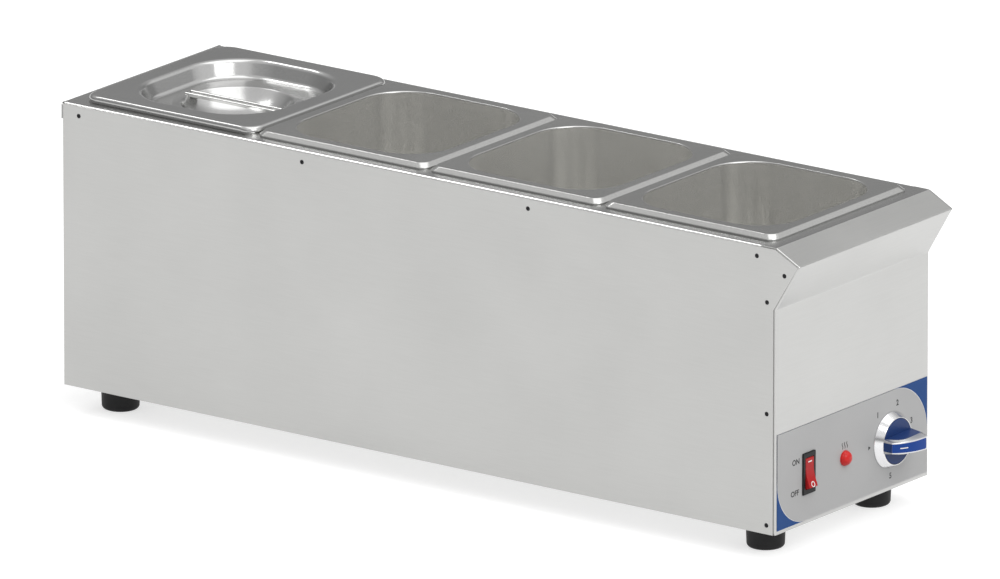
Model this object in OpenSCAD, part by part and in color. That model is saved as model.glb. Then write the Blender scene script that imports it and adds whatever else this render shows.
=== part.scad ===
// Counter-top bain-marie with a narrow front: four pans in one row over a water tank.
// X runs across the unit, +Y to the back, +Z up. The control panel faces -Y.
// The origin is on the table, under the middle of everything the unit covers.

/* [Pans] */
// Flange of a pan across the unit
pan_w = 176; // [160:1:190]
// Flange of a pan along the unit
pan_l = 162; // [150:1:176]
// Depth of a pan from its flange to its floor, outside
pan_depth = 150; // [100:1:200]
// Sheet thickness of a pan
pan_t = 0.8; // [0.6:0.1:1.2]
// Width of the flange round the mouth
pan_flange = 12; // [11:0.5:15]
// Height of the flange above the deck
pan_rim_h = 4.4; // [3.6:0.1:6]
// Rounding along the outer edge of the flange
pan_rim_r = 2.5; // [1.8:0.1:3]
// Corner radius of the flange seen from above
pan_corner_r = 11; // [8:0.5:15]
// Corner radius of the mouth seen from above
pan_mouth_r = 38; // [28:1:42]
// Rounding between flange and wall
pan_lip_r = 1.6; // [1.4:0.2:4]
// Rounding between wall and floor
pan_floor_r = 14; // [8:1:18]
// How far each wall leans in on its way down
pan_taper = 5; // [2:0.5:8]
// Gap between the flanges of neighbouring pans
pan_gap = 2.4; // [2:0.1:6]

/* [Lid] */
// Sheet thickness of the lid
lid_t = 1; // [0.8:0.1:1.2]
// Width of the flat border round the recess
lid_border = 17; // [16:0.5:19]
// Corner radius of the recess
lid_recess_r = 35; // [30:1:38]
// Depth of the recess under the flat border
lid_recess_h = 10.6; // [8:0.1:14]
// How far the wall of the recess leans in
lid_wall_lean = 5; // [4:0.5:6]
// Rounding at the top and the foot of the recess wall
lid_bend_r = 3; // [2:0.5:3.5]
// Outer radius of the raised ring round the dish
lid_ring_r = 51; // [49:0.5:52]
// Height of the raised ring
lid_ring_h = 0.5; // [0.3:0.1:1]
// Radius of the finger dish
dish_r = 43; // [38:0.5:44]
// Step from the raised ring down to the rim of the dish
dish_step = 1.2; // [0.8:0.1:2]
// Depth of the dish under its rim
dish_h = 16; // [12:1:22]
// Radius of the flat middle of the dish
dish_flat_r = 14; // [8:1:20]
// Length of the handle bar
lid_bar_l = 95; // [94:0.5:98]
// Width of the handle bar
lid_bar_w = 10; // [8:0.5:14]
// Height of the handle bar
lid_bar_h = 4; // [3:0.1:6]
// Thickness of the folded handle bar
lid_bar_t = 1.2; // [0.8:0.1:1.5]

/* [Casing] */
// Space on each side of the pans, out to the side panel's face
side_margin = 13; // [12:0.5:24]
// Deck left bare in front of the pans
front_margin = 10.8; // [10:0.1:20]
// Deck left bare behind the pans
rear_margin = 13; // [12:0.5:24]
// Thickness of the casing sheets
sheet_t = 1.2; // [1:0.1:1.5]
// How far the nose stands out over the control panel
nose_out = 22; // [20:0.5:23]
// Height of the nose tip under the deck
nose_drop = 11.7; // [9:0.1:16]
// Height under the deck where the nose meets the front face
nose_foot = 49.3; // [44:0.1:60]
// Height of the turned-down edges of the deck
deck_flange = 16; // [14:0.5:18]
// Width of the turned-in edges of the front panel
front_flange = 14; // [12:0.5:16]
// Height of the turned-up edges of the base tray
tray_flange = 14; // [8:0.5:16]
// Height of the deck's lip over the rear panel
lip_h = 13; // [10:0.5:16]
// Gap between the deck's lip and the rear panel
lip_gap = 0.3; // [0.1:0.1:0.5]
// Gap between a folded edge and the side panel beside it
fold_gap = 0.1; // [0.05:0.05:0.2]
// Relief notch between two folded edges
fold_notch = 1.5; // [1:0.1:2]
// Distance of the side panels' edges behind the folds of the deck and the front
fold_reveal = 1.8; // [1.2:0.1:2.5]

/* [Side screws] */
// Width of a screw's countersunk head
screw_head_d = 3.6; // [3.2:0.1:4.4]
// Height of the head's cone
screw_head_h = 0.6; // [0.4:0.1:0.7]
// Diameter of the screw's thread
screw_d = 2.4; // [2:0.1:2.6]
// Length of the screw
screw_l = 6; // [4:0.5:8]
// Depth of the top row under the deck
screw_drop = 8.5; // [7:0.1:10]
// Distance of the first and last top screws from the ends
screw_end = 17; // [12:0.5:24]
// Number of screws in the top row
screw_top_n = 4; // [3:1:6]
// Distance of the front row behind the front face
screw_front = 7.4; // [5.5:0.1:9]
// Height of the lowest front screw above the bottom edge
screw_low = 7.2; // [6.5:0.1:12]
// Distance of the highest front screw above the foot of the nose
screw_high = 5.7; // [4:0.1:10]
// Number of screws in the front row
screw_front_n = 3; // [2:1:5]
// Distance of the nose screw behind the nose tip
screw_nose_in = 13.3; // [11:0.1:15]
// Depth of the nose screw under the nose tip
screw_nose_drop = 8.4; // [6:0.1:10]

/* [Feet] */
// Diameter of a foot at the casing
foot_top_d = 30.8; // [26:0.2:36]
// Diameter of a foot near the table
foot_low_d = 29.2; // [24:0.2:30]
// Height of a foot
foot_h = 21; // [16:0.5:30]
// Rounding at the lower edge of a foot
foot_round = 3; // [1:0.5:4]
// Distance of the foot centres from each side
foot_side = 32; // [24:0.5:40]
// Distance of the front feet from the front face
foot_front = 31; // [24:0.5:45]
// Distance of the rear feet from the rear edge
foot_rear = 32; // [24:0.5:45]
// Diameter of the foot screws
foot_screw_d = 5; // [4:0.5:6]
// Diameter of the recess for the screw's head
foot_recess_d = 12; // [11:0.5:16]
// Thickness of rubber under the screw head's seat
foot_seat = 7; // [5:0.5:10]

/* [Water tank] */
// Sheet thickness of the tank
tank_t = 1; // [0.8:0.1:1.2]
// Water depth under the pans
water_gap = 15.4; // [8:0.1:30]
// Distance of the tank walls from the deck openings
tank_margin = 7; // [5:0.5:8]
// Corner radius of the tank
tank_r = 20; // [10:1:40]
// Clearance between a pan's wall and the deck opening
open_clear = 1.2; // [0.8:0.1:2]
// Clearance between the control gear and the tank above it
tank_clear = 3.5; // [3:0.1:20]
// Thickness of the insulating boards
board_t = 9; // [6:0.5:10]
// Thin seat gap for pieces that rest on curved or rough faces
seat_gap = 0.2; // [0.1:0.05:0.3]

/* [Heating element] */
// Diameter of the element tube
element_d = 8; // [6.4:0.1:9]
// Distance between the element's two long runs
element_span = 90; // [80:1:110]
// Diameter of the element's terminal pins
element_pin_d = 4; // [3:0.5:5]
// Length of the terminal pins
element_pin_l = 10; // [8:1:12]
// Distance of the tube's front end behind the front face
element_front = 62; // [58:1:80]
// Distance of the tube's bend from the tank's rear wall
element_rear = 18; // [12:1:60]
// Thickness of the clamp bars
clamp_t = 2; // [1.5:0.5:3]
// Width of the clamp bars
clamp_w = 16; // [12:1:24]
// Distance between the two studs of a clamp bar
stud_span = 50; // [44:1:60]
// Diameter of the studs
stud_d = 5; // [4:0.5:6]
// Diameter of the sensor bulb
bulb_d = 6; // [5:0.5:7]
// Length of the sensor bulb
bulb_l = 90; // [60:5:110]
// Distance of the bulb behind the front face
bulb_front = 190; // [185:1:240]

/* [Controls] */
// Height of the row of controls above the casing's bottom edge
control_z = 40; // [38:0.5:48]
// Width of the thermostat's square body
thermostat_w = 43; // [36:1:45]
// Depth of the thermostat behind the front panel
thermostat_l = 34; // [28:1:40]
// Distance between the thermostat's two screws
thermostat_screws_span = 28; // [24:1:28]
// Place of the knob to the right of the middle
knob_x = 49.7; // [44:0.1:56]
// Diameter of the thermostat's shaft
shaft_d = 6; // [5:0.5:7]
// Diameter of the knob's disc
disc_d = 35.4; // [34:0.2:38]
// Height of the disc's face in front of the label
disc_h = 7.1; // [6.5:0.1:9]
// Thickness of the disc
disc_t = 3; // [2.6:0.1:3.2]
// Radial gap between the disc and its ring
disc_gap = 0.4; // [0.3:0.05:0.6]
// Diameter of the ring at the panel
ring_low_d = 44; // [42:0.5:48]
// Diameter of the ring at its top
ring_top_d = 37.4; // [37:0.2:41]
// Height of the arched grip above the disc at its highest
grip_h = 19.6; // [16:0.2:21]
// Height of the grip above the disc at its pointer end
grip_low_h = 6.6; // [5:0.2:8]
// Length of the grip
grip_l = 35.2; // [33:0.2:35.4]
// Place of the grip's highest line, measured from the knob's axis
grip_peak = 10; // [7:0.5:11]
// Depth of the grip's silver cap at its highest
cap_depth = 6; // [4.4:0.2:8]
// Width of the grip at its highest
grip_w = 11; // [10:0.2:13]
// Width of the grip at its pointer end
grip_low_w = 9; // [8:0.2:9.8]
// Width of the border round the grip's inlay
inlay_border = 1.2; // [0.8:0.1:1.5]
// Thickness of the inlay
inlay_t = 0.5; // [0.4:0.1:0.8]
// Place of the rocker switch left of the middle
switch_x = 57.7; // [50:0.1:66]
// Width of the switch's rim
switch_w = 15.8; // [15.6:0.1:18]
// Height of the switch's rim
switch_h = 33; // [32:0.5:36]
// Thickness of the switch's rim in front of the label
switch_rim = 1.6; // [1.2:0.1:2.2]
// Depth of the switch behind the label
switch_l = 22; // [18:0.5:28]
// Width of the rocker
rocker_w = 10.4; // [8:0.1:10.4]
// Swing radius of the rocker's ends
rocker_r = 12.3; // [11:0.1:12.4]
// Tilt of the rocker to each side
rocker_tilt = 10; // [6:1:12]
// Place of the pilot lamp left of the middle
lamp_x = 10.2; // [0:0.1:14]
// Diameter of the lamp's lens
lens_d = 12; // [11.6:0.1:16]
// Height of the lens in front of the label
lens_h = 5.5; // [4:0.1:6]
// Thickness of the label on the front panel
label_t = 0.4; // [0.2:0.1:0.6]
// Height of the label
label_h = 76; // [74:1:96]
// Height of the label above the casing's bottom edge
label_low = 2.8; // [2:0.1:5]
// Bare strip left of and right of the label
label_side = 3.3; // [2.6:0.1:6]

/* [Mains entry] */
// Place of the cable gland left of the middle
gland_x = 55; // [40:1:70]
// Height of the cable gland above the casing's bottom edge
gland_z = 34; // [30:1:60]
// Diameter of the gland's thread
gland_d = 20; // [18:1:24]
// Bore for the cable
cable_d = 9; // [6:0.5:10]
// Length of the gland's cap nut
cap_l = 15; // [14:0.5:20]
// Diameter of the wires
wire_d = 2.6; // [1.8:0.2:3]

/* [Hidden] */
$fn = 48;
pan_count = 4;
eps = 0.01;

// Main sizes of the casing
pan_pitch = pan_l + pan_gap;
body_w = pan_w + 2 * side_margin;
body_l = front_margin + pan_count * pan_l + (pan_count - 1) * pan_gap + rear_margin;
service_h = control_z + thermostat_w / 2 + tank_clear;
body_h = service_h + tank_t + water_gap + pan_depth - pan_rim_h;
in_x = body_w / 2 - sheet_t;
fold_x = in_x - fold_gap;
rear_y = body_l - sheet_t - lip_gap;

// Mouth of a pan and its opening in the deck
mouth_w = pan_w - 2 * pan_flange;
mouth_l = pan_l - 2 * pan_flange;
open_w = mouth_w + 2 * (pan_t + open_clear);
open_l = mouth_l + 2 * (pan_t + open_clear);
open_r = pan_mouth_r + pan_t + open_clear;
function pan_y(k) = front_margin + pan_l / 2 + (k - 1) * pan_pitch;

// Tank, with its inner faces
tank_w = open_w + 2 * tank_margin;
tank_front = pan_y(1) - open_l / 2 - tank_margin;
tank_back = pan_y(pan_count) + open_l / 2 + tank_margin;
tank_mid = (tank_front + tank_back) / 2;
tank_l = tank_back - tank_front;
tank_flange_gap = 1.5;
tank_flange_x = fold_x - sheet_t - tank_flange_gap;
tank_flange_y = 9;

// Knob, shaft and thermostat, seen from the front with the height above the label as +Z
fit = 0.05;
ring_h = disc_h - 0.3;
shaft_flat = 1.4;
shaft_end = disc_h - 1.2;
shaft_in = 10;
hub_d = shaft_d + 6;
hub_low = 0.6;
small_screw_d = 3.6;
small_head_d = 6.4;
small_head_h = 2;
grip_steps = 10;
grip_end = 1.6;
grip_round = 2.4;
tab_w = 4.8;
tab_t = 0.8;
tab_l = 8;

// Switch
pivot_depth = 2.5;
pivot_d = 2.4;
pivot_gap = 0.08;
pivot_seat = 0.6;
rocker_back = 5;
rocker_gap = 0.3;
rocker_proud = 0.1;
cavity_w = rocker_w + 2 * rocker_gap;
cavity_h = 2 * (rocker_r + rocker_gap);
cavity_l = pivot_depth + rocker_back + 4;
switch_body_w = cavity_w + 2;
switch_body_h = cavity_h + 3;
cut_gap = 0.2;

// Lamp
lamp_d = 10;
lamp_l = 20;
clip_d = 15;
clip_t = 3;

// Gland, with its height behind the rear panel as +Z
gland_flange = 6;
gland_neck = 7;
gland_af = gland_d + 4;
gland_neck_d = gland_d - 2;
cap_wall = 2.7;
thread_gap = 0.1;
nut_t = 5;
seal_l = cap_l - gland_neck - cap_wall - 2 * 0.3;

// How far the unit reaches, and where its front face then lies
inlay_lift = 0.1;
knob_reach = label_t + disc_h + grip_h + inlay_lift;
gland_reach = rear_y + gland_flange + 0.3 + cap_l;
front_y = (max(nose_out, knob_reach) - max(body_l, gland_reach)) / 2;

steel = [0.78, 0.78, 0.77];
bright = [0.86, 0.86, 0.85];
dark = [0.16, 0.16, 0.16];
blue = [0.16, 0.3, 0.62];
red = [0.8, 0.18, 0.16];
brass = [0.8, 0.66, 0.32];
rubber = [0.14, 0.14, 0.14];

// Puts a piece drawn from the front face and the bottom edge where the casing stands
module placed() translate([0, front_y, foot_h]) children();

// Turns +Z to the front, so that a control is drawn looking at the panel
module on_panel(x, lift = 0) placed() translate([x, -lift, control_z]) rotate([90, 0, 0]) children();

// Box from one corner to the opposite one
module span(a, b) translate(a) cube(b - a);

module rounded(w, l, r) {
    square([w - 2 * r, l], center = true);
    square([w, l - 2 * r], center = true);
    for (sx = [-1, 1], sy = [-1, 1]) translate([sx * (w / 2 - r), sy * (l / 2 - r)]) circle(r, $fn = 64);
}

module slot(w, l, h) {
    translate([-w / 2, -(l - w) / 2, 0]) cube([w, l - w, h]);
    for (s = [-1, 1]) translate([0, s * (l - w) / 2, 0]) cylinder(d = w, h = h, $fn = 24);
}

module hex(af, h) cylinder(d = af / cos(30), h = h, $fn = 6);

// Outline of deck and front in the YZ plane: back edge, fold, nose tip, foot of the nose, bottom edge
front_line = [[body_l, body_h], [0, body_h], [-nose_out, body_h - nose_drop],
    [0, body_h - nose_foot], [0, 0]];
chamfer_run = norm([nose_out, nose_drop]);
chamfer_t = sheet_t * chamfer_run / nose_out;
chamfer_fall = nose_drop / nose_out;

// Corner of a line moved inwards by t
function unit(v) = v / norm(v);
function left(v) = [-v[1], v[0]];
function inner_corner(p, k, t) =
    let (a = left(unit(p[k] - p[k - 1])), b = left(unit(p[k + 1] - p[k]))) p[k] + t * (a + b) / (1 + a * b);

inner_line = [[0, body_h - chamfer_t], inner_corner(front_line, 2, sheet_t),
    inner_corner(front_line, 3, sheet_t), [sheet_t, 0]];

// Extrudes an outline of the YZ plane along X
module along_x(x0, x1) translate([x0, 0, 0]) rotate([90, 0, 90]) linear_extrude(x1 - x0) children();

// Places of the side screws as Y and Z
screw_pitch = (body_l - 2 * screw_end) / (screw_top_n - 1);
screw_high_z = body_h - nose_foot + screw_high;
screw_front_pitch = (screw_high_z - screw_low) / (screw_front_n - 1);
top_screws = [for (i = [0:screw_top_n - 1]) [screw_end + i * screw_pitch, body_h - screw_drop]];
front_screws = concat([[screw_nose_in - nose_out, body_h - nose_drop - screw_nose_drop]],
    [for (i = [0:screw_front_n - 1]) [screw_front, screw_low + i * screw_front_pitch]]);

module at_screws(places) for (p = places) translate([0, p[0], p[1]]) rotate([0, 90, 0]) children();

// Clearance holes for the screws' threads through the folded edges on both sides
module thread_holes(places) at_screws(places)
    translate([0, 0, -body_w]) cylinder(d = screw_d + 2 * fit, h = 2 * body_w);

module top_deck() {
    color(steel) placed() difference() {
        union() {
            span([-fold_x, 0, body_h - sheet_t], [fold_x, body_l, body_h]);
            span([-body_w / 2, body_l - sheet_t, body_h - lip_h], [body_w / 2, body_l, body_h]);
            for (s = [-1, 1]) translate([s * (fold_x - sheet_t / 2), 0, 0])
                span([-sheet_t / 2, fold_notch, body_h - deck_flange],
                    [sheet_t / 2, rear_y - sheet_t - fold_gap, body_h]);
        }
        for (k = [1:pan_count]) translate([0, pan_y(k), body_h - 2 * sheet_t])
            linear_extrude(3 * sheet_t) rounded(open_w, open_l, open_r);
        thread_holes(top_screws);
    }
}

module front_panel() {
    flange_top = body_h - deck_flange - fold_notch;
    color(steel) placed() difference() {
        union() {
            along_x(-fold_x, fold_x)
                polygon([for (k = [1:4]) front_line[k], for (k = [3:-1:0]) inner_line[k]]);
            for (s = [-1, 1]) translate([s * (fold_x - sheet_t / 2), 0, 0]) along_x(-sheet_t / 2, sheet_t / 2)
                polygon([[-fold_notch, body_h - fold_notch * chamfer_fall], front_line[2], front_line[3],
                    [0, sheet_t + fold_gap], [front_flange, sheet_t + fold_gap], [front_flange, flange_top],
                    [-fold_notch, flange_top]]);
        }
        thread_holes(front_screws);
        control_cuts();
    }
}

// Holes for the controls through the front panel and, wider round the knob, the label
module control_cuts(knob_hole = shaft_d + 3) {
    depth = 4 * sheet_t;
    translate([0, depth / 2, control_z]) rotate([90, 0, 0]) {
        translate([knob_x, 0, 0]) cylinder(d = knob_hole, h = depth);
        translate([-lamp_x, 0, 0]) cylinder(d = lamp_d + 2 * cut_gap, h = depth);
        translate([-switch_x - switch_body_w / 2 - cut_gap, -switch_body_h / 2 - cut_gap, 0])
            cube([switch_body_w + 2 * cut_gap, switch_body_h + 2 * cut_gap, depth]);
        for (s = [-1, 1]) translate([knob_x, s * thermostat_screws_span / 2, 0])
            cylinder(d = small_screw_d + 4 * fit, h = depth);
    }
}

module side_panel(s) {
    color(steel) placed() difference() {
        translate([s * (body_w / 2 - sheet_t / 2), 0, 0]) along_x(-sheet_t / 2, sheet_t / 2)
            polygon([[rear_y, body_h - fold_reveal], for (k = [1:3]) inner_corner(front_line, k, fold_reveal),
                [fold_reveal, 0], [rear_y, 0]]);
        at_screws(concat(top_screws, front_screws))
            translate([0, 0, s * in_x]) mirror([0, 0, s < 0 ? 1 : 0]) {
            translate([0, 0, -sheet_t]) cylinder(d = screw_d + 2 * fit, h = 3 * sheet_t);
            translate([0, 0, sheet_t - seat_gap - screw_head_h])
                cylinder(d1 = screw_d + 2 * fit, d2 = screw_head_d + 2 * fit, h = screw_head_h);
            translate([0, 0, sheet_t - seat_gap]) cylinder(d = screw_head_d + 2 * fit, h = sheet_t);
        }
    }
}

module side_panel_left() side_panel(-1);

module side_panel_right() side_panel(1);

module rear_panel() {
    vent_n = 7;
    vent_w = 3;
    vent_l = 30;
    vent_step = 9;
    low = max(tray_flange, lip_h) + fold_notch;
    color(steel) placed() difference() {
        union() {
            span([-fold_x, rear_y - sheet_t, sheet_t], [fold_x, rear_y, body_h - sheet_t]);
            for (s = [-1, 1]) translate([s * (fold_x - sheet_t / 2), 0, 0])
                span([-sheet_t / 2, rear_y - front_flange, low],
                    [sheet_t / 2, rear_y, body_h - deck_flange - fold_notch]);
        }
        translate([-gland_x, rear_y - 2 * sheet_t, gland_z]) rotate([-90, 0, 0])
            cylinder(d = gland_d + 2 * cut_gap, h = 4 * sheet_t);
        for (i = [0:vent_n - 1]) translate([gland_x - i * vent_step, rear_y + sheet_t, gland_z])
            rotate([90, 0, 0]) slot(vent_w, vent_l, 3 * sheet_t);
    }
}

module base_tray() {
    vent_n = 5;
    vent_w = 3;
    vent_l = 50;
    vent_step = 12;
    inner_x = fold_x - sheet_t - fold_notch;
    color(steel) placed() difference() {
        union() {
            span([-fold_x, sheet_t, 0], [fold_x, rear_y, sheet_t]);
            span([-inner_x, sheet_t, 0], [inner_x, 2 * sheet_t, tray_flange]);
            span([-inner_x, rear_y - 2 * sheet_t, 0], [inner_x, rear_y - sheet_t, tray_flange]);
            for (s = [-1, 1]) translate([s * (fold_x - sheet_t / 2), 0, 0])
                span([-sheet_t / 2, front_flange + fold_notch, 0],
                    [sheet_t / 2, rear_y - sheet_t - fold_notch, tray_flange]);
        }
        at_feet() translate([0, 0, -sheet_t]) cylinder(d = foot_screw_d + 8 * fit, h = 3 * sheet_t);
        for (y = [body_l / 3, body_l * 2 / 3], i = [0:vent_n - 1])
            translate([(i - (vent_n - 1) / 2) * vent_step, y, -sheet_t]) slot(vent_w, vent_l, 3 * sheet_t);
    }
}

// Places of the feet: s is the side, e the end
function foot_at(s, e) = [s * (body_w / 2 - foot_side), e < 0 ? foot_front : body_l - foot_rear, 0];

module at_feet() for (s = [-1, 1], e = [-1, 1]) translate(foot_at(s, e)) children();

module foot(s, e) {
    lean = (foot_top_d - foot_low_d) / 2;
    low_r = foot_low_d / 2;
    color(rubber) placed() translate(foot_at(s, e) - [0, 0, foot_h]) difference() {
        rotate_extrude($fn = 64) polygon(concat([[0, 0]],
            [for (a = [0:15:90]) [low_r - foot_round * (1 - sin(a)), foot_round * (1 - cos(a))]],
            [[low_r + lean, foot_h], [0, foot_h]]));
        translate([0, 0, -eps]) cylinder(d = foot_recess_d, h = foot_h - foot_seat + eps);
        cylinder(d = foot_screw_d + 8 * fit, h = foot_h + sheet_t);
    }
}

module foot_front_left() foot(-1, -1);

module foot_front_right() foot(1, -1);

module foot_rear_left() foot(-1, 1);

module foot_rear_right() foot(1, 1);

foot_head_h = 3.5;
foot_nut_h = 4;

module foot_screws() {
    color(bright) placed() at_feet() {
        translate([0, 0, -foot_seat - foot_head_h]) difference() {
            cylinder(d = foot_recess_d - 2, h = foot_head_h);
            translate([0, 0, -eps]) cylinder(d = foot_screw_d / 2, h = foot_head_h / 2);
        }
        translate([0, 0, -foot_seat]) cylinder(d = foot_screw_d, h = foot_seat + sheet_t + foot_nut_h + 1);
    }
}

module foot_nuts() {
    color(bright) placed() at_feet() translate([0, 0, sheet_t]) difference() {
        hex(foot_screw_d * 1.6, foot_nut_h);
        translate([0, 0, -eps]) cylinder(d = foot_screw_d + 2 * fit, h = foot_nut_h + 1);
    }
}

module side_screws() {
    color(dark) placed() for (s = [-1, 1]) at_screws(concat(top_screws, front_screws))
        mirror([0, 0, s < 0 ? 1 : 0]) translate([0, 0, body_w / 2 - seat_gap]) {
            translate([0, 0, -screw_l]) cylinder(d = screw_d, h = screw_l - screw_head_h);
            translate([0, 0, -screw_head_h]) difference() {
                cylinder(d1 = screw_d, d2 = screw_head_d, h = screw_head_h);
                translate([0, 0, screw_head_h / 2]) cylinder(d = screw_d / 2, h = screw_head_h, $fn = 6);
            }
        }
}

module water_tank() {
    top = body_h - sheet_t;
    color(bright) placed() translate([0, tank_mid, 0]) difference() {
        union() {
            translate([0, 0, service_h]) linear_extrude(top - service_h)
                rounded(tank_w + 2 * tank_t, tank_l + 2 * tank_t, tank_r + tank_t);
            translate([0, 0, top - tank_t]) linear_extrude(tank_t)
                square([2 * tank_flange_x, tank_l + 2 * (tank_t + tank_flange_y)], center = true);
        }
        translate([0, 0, service_h + tank_t]) linear_extrude(body_h) rounded(tank_w, tank_l, tank_r);
    }
}

module insulation_boards() {
    x0 = tank_w / 2 + tank_t + seat_gap;
    end_gap = tank_r;
    color([0.85, 0.8, 0.6]) placed() for (s = [-1, 1]) translate([s * (x0 + board_t / 2), 0, 0])
        span([-board_t / 2, tank_front + end_gap, service_h + tank_r / 2],
            [board_t / 2, tank_back - end_gap, body_h - deck_flange - fold_notch]);
}

element_z = service_h - seat_gap - element_d / 2;
element_bend = tank_back - element_rear - element_span / 2;
clamp_z = element_z - element_d / 2 - seat_gap - clamp_t;
clamp_front = 50;
clamp_rear = 40;
clamp_over = 10;
clamp_places = [element_front + clamp_front, (element_front + element_bend) / 2, element_bend - clamp_rear];

module heating_element() {
    color([0.3, 0.3, 0.32]) placed() translate([0, 0, element_z]) {
        for (s = [-1, 1]) translate([s * element_span / 2, element_front, 0]) rotate([-90, 0, 0]) {
            cylinder(d = element_d, h = element_bend - element_front);
            translate([0, 0, -element_pin_l]) cylinder(d = element_pin_d, h = element_pin_l);
        }
        translate([0, element_bend, 0]) rotate_extrude(angle = 180, $fn = 64)
            translate([element_span / 2, 0]) circle(d = element_d, $fn = 32);
    }
}

module at_studs() for (y = clamp_places, s = [-1, 1]) translate([s * stud_span / 2, y, 0]) children();

module clamp_bars() {
    bar_w = element_span + element_d + 2 * clamp_over;
    color(bright) placed() difference() {
        for (y = clamp_places) translate([-bar_w / 2, y - clamp_w / 2, clamp_z])
            cube([bar_w, clamp_w, clamp_t]);
        at_studs() translate([0, 0, clamp_z - 1]) cylinder(d = stud_d + 8 * fit, h = clamp_t + 2);
    }
}

stud_nut_h = 4;

module clamp_studs() {
    low = clamp_z - stud_nut_h - 2;
    color(bright) placed() at_studs() translate([0, 0, low]) cylinder(d = stud_d, h = service_h - low);
}

module clamp_nuts() {
    color(bright) placed() at_studs() translate([0, 0, clamp_z - stud_nut_h]) difference() {
        hex(stud_d * 1.6, stud_nut_h);
        translate([0, 0, -eps]) cylinder(d = stud_d + 2 * fit, h = stud_nut_h + 1);
    }
}

// Tube swept along a list of points, as one closed skin of flat faces
sweep_up = [0.27, 0.16, 0.95];
function across(p, k) =
    let (a = k == 0 ? p[1] - p[0] : unit(p[k] - p[k - 1]), b = k == len(p) - 1 ? a : unit(p[k + 1] - p[k]))
    unit(unit(a) + unit(b));
function sweep_ring(p, k, r, n) =
    let (t = across(p, k), u = unit(cross(t, sweep_up)), v = cross(t, u))
    [for (i = [0:n - 1]) p[k] + r * (cos(360 * i / n) * u + sin(360 * i / n) * v)];

module tube(p, d, n = 8) loft([for (k = [0:len(p) - 1]) sweep_ring(p, k, d / 2, n)]);

// Skin through a list of rings, each with as many points, closed at both ends
module loft(rings) {
    n = len(rings[0]);
    m = len(rings);
    sides = [for (k = [0:m - 2], i = [0:n - 1]) let (j = (i + 1) % n)
        [[k * n + i, (k + 1) * n + i, (k + 1) * n + j], [k * n + i, (k + 1) * n + j, k * n + j]]];
    polyhedron([for (r = rings) each r], concat([[for (i = [0:n - 1]) i]], [for (s = sides) each s],
        [[for (i = [n - 1:-1:0]) (m - 1) * n + i]]), convexity = 10);
}

bulb_z = service_h - seat_gap - bulb_d / 2;
capillary_d = 1.6;
capillary_drop = 14;
capillary_out = 6;

module capillary_sensor() {
    back = sheet_t + thermostat_l;
    start = [knob_x - thermostat_w / 4, back, control_z + thermostat_w / 4];
    color(brass) placed() {
        translate([0, bulb_front, bulb_z]) rotate([-90, 0, 0]) cylinder(d = bulb_d, h = bulb_l);
        tube([start, start + [0, capillary_out, 0],
            start + [-capillary_out, capillary_drop, -capillary_out / 2],
            [3 * capillary_out, element_front, clamp_z - capillary_drop],
            [capillary_out, (element_front + clamp_places[0]) / 2, clamp_z - capillary_drop],
            [0, clamp_places[0], clamp_z - capillary_drop / 2],
            [0, bulb_front - 3 * capillary_drop, clamp_z - capillary_d],
            [0, bulb_front - capillary_drop, bulb_z], [0, bulb_front, bulb_z]], capillary_d);
    }
}

module sensor_clips() {
    clip_ear = 6;
    clip_l = 8;
    clip_in = 12;
    clip_w = bulb_d + 2 * clip_ear;
    clip_h = bulb_d + seat_gap + 2;
    color(bright) placed() for (y = [bulb_front + clip_in, bulb_front + bulb_l - clip_in]) difference() {
        translate([-clip_w / 2, y - clip_l / 2, service_h - clip_h]) cube([clip_w, clip_l, clip_h]);
        translate([0, y - clip_l, bulb_z]) rotate([-90, 0, 0]) cylinder(d = bulb_d + 4 * fit, h = 2 * clip_l);
        translate([-bulb_d / 2 - 2 * fit, y - clip_l, bulb_z]) cube([bulb_d + 4 * fit, 2 * clip_l, bulb_d]);
    }
}

// A flat tab for a push-on connector, pointing away from the panel
module tab(x, z, depth) translate([x - tab_t / 2, z - tab_w / 2, -depth - tab_l])
    cube([tab_t, tab_w, tab_l + eps]);

module thermostat() {
    w = thermostat_w;
    color([0.75, 0.72, 0.66]) on_panel(knob_x, -sheet_t) difference() {
        union() {
            translate([-w / 2, -w / 2, -1]) cube([w, w, 1]);
            translate([-w / 2 + 1, -w / 2 + 1, -thermostat_l]) cube([w - 2, w - 2, thermostat_l]);
            for (s = [-1, 1]) tab(w / 4, s * w / 5, thermostat_l - eps);
        }
        translate([0, 0, -shaft_in]) cylinder(d = shaft_d + 2 * fit, h = shaft_in + 1);
        for (s = [-1, 1]) translate([0, s * thermostat_screws_span / 2, -6])
            cylinder(d = small_screw_d + 2 * fit, h = 7);
    }
}

module thermostat_screws() {
    color(bright) for (s = [-1, 1]) on_panel(knob_x) translate([0, s * thermostat_screws_span / 2, 0]) {
        translate([0, 0, -sheet_t - 5]) cylinder(d = small_screw_d, h = sheet_t + 5);
        difference() {
            cylinder(d = small_head_d, h = small_head_h);
            translate([-small_head_d, -0.5, small_head_h / 2]) cube([2 * small_head_d, 1, small_head_h]);
        }
    }
}

module d_shaft(d, flat, h) intersection() {
    cylinder(d = d, h = h);
    translate([-d, -d, 0]) cube([2 * d, 1.5 * d - flat, h]);
}

module thermostat_shaft() {
    inner = sheet_t + shaft_in - 0.5;
    color(brass) on_panel(knob_x, label_t) {
        translate([0, 0, -label_t - inner]) cylinder(d = shaft_d, h = label_t + inner + hub_low);
        translate([0, 0, hub_low]) d_shaft(shaft_d, shaft_flat, shaft_end - hub_low);
    }
}

module knob_ring() {
    color(bright) on_panel(knob_x, label_t) rotate_extrude($fn = 96) polygon([
        [disc_d / 2 + disc_gap, 0], [ring_low_d / 2, 0], [ring_low_d / 2, 0.8], [ring_top_d / 2, ring_h],
        [disc_d / 2 + disc_gap, ring_h]]);
}

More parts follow.
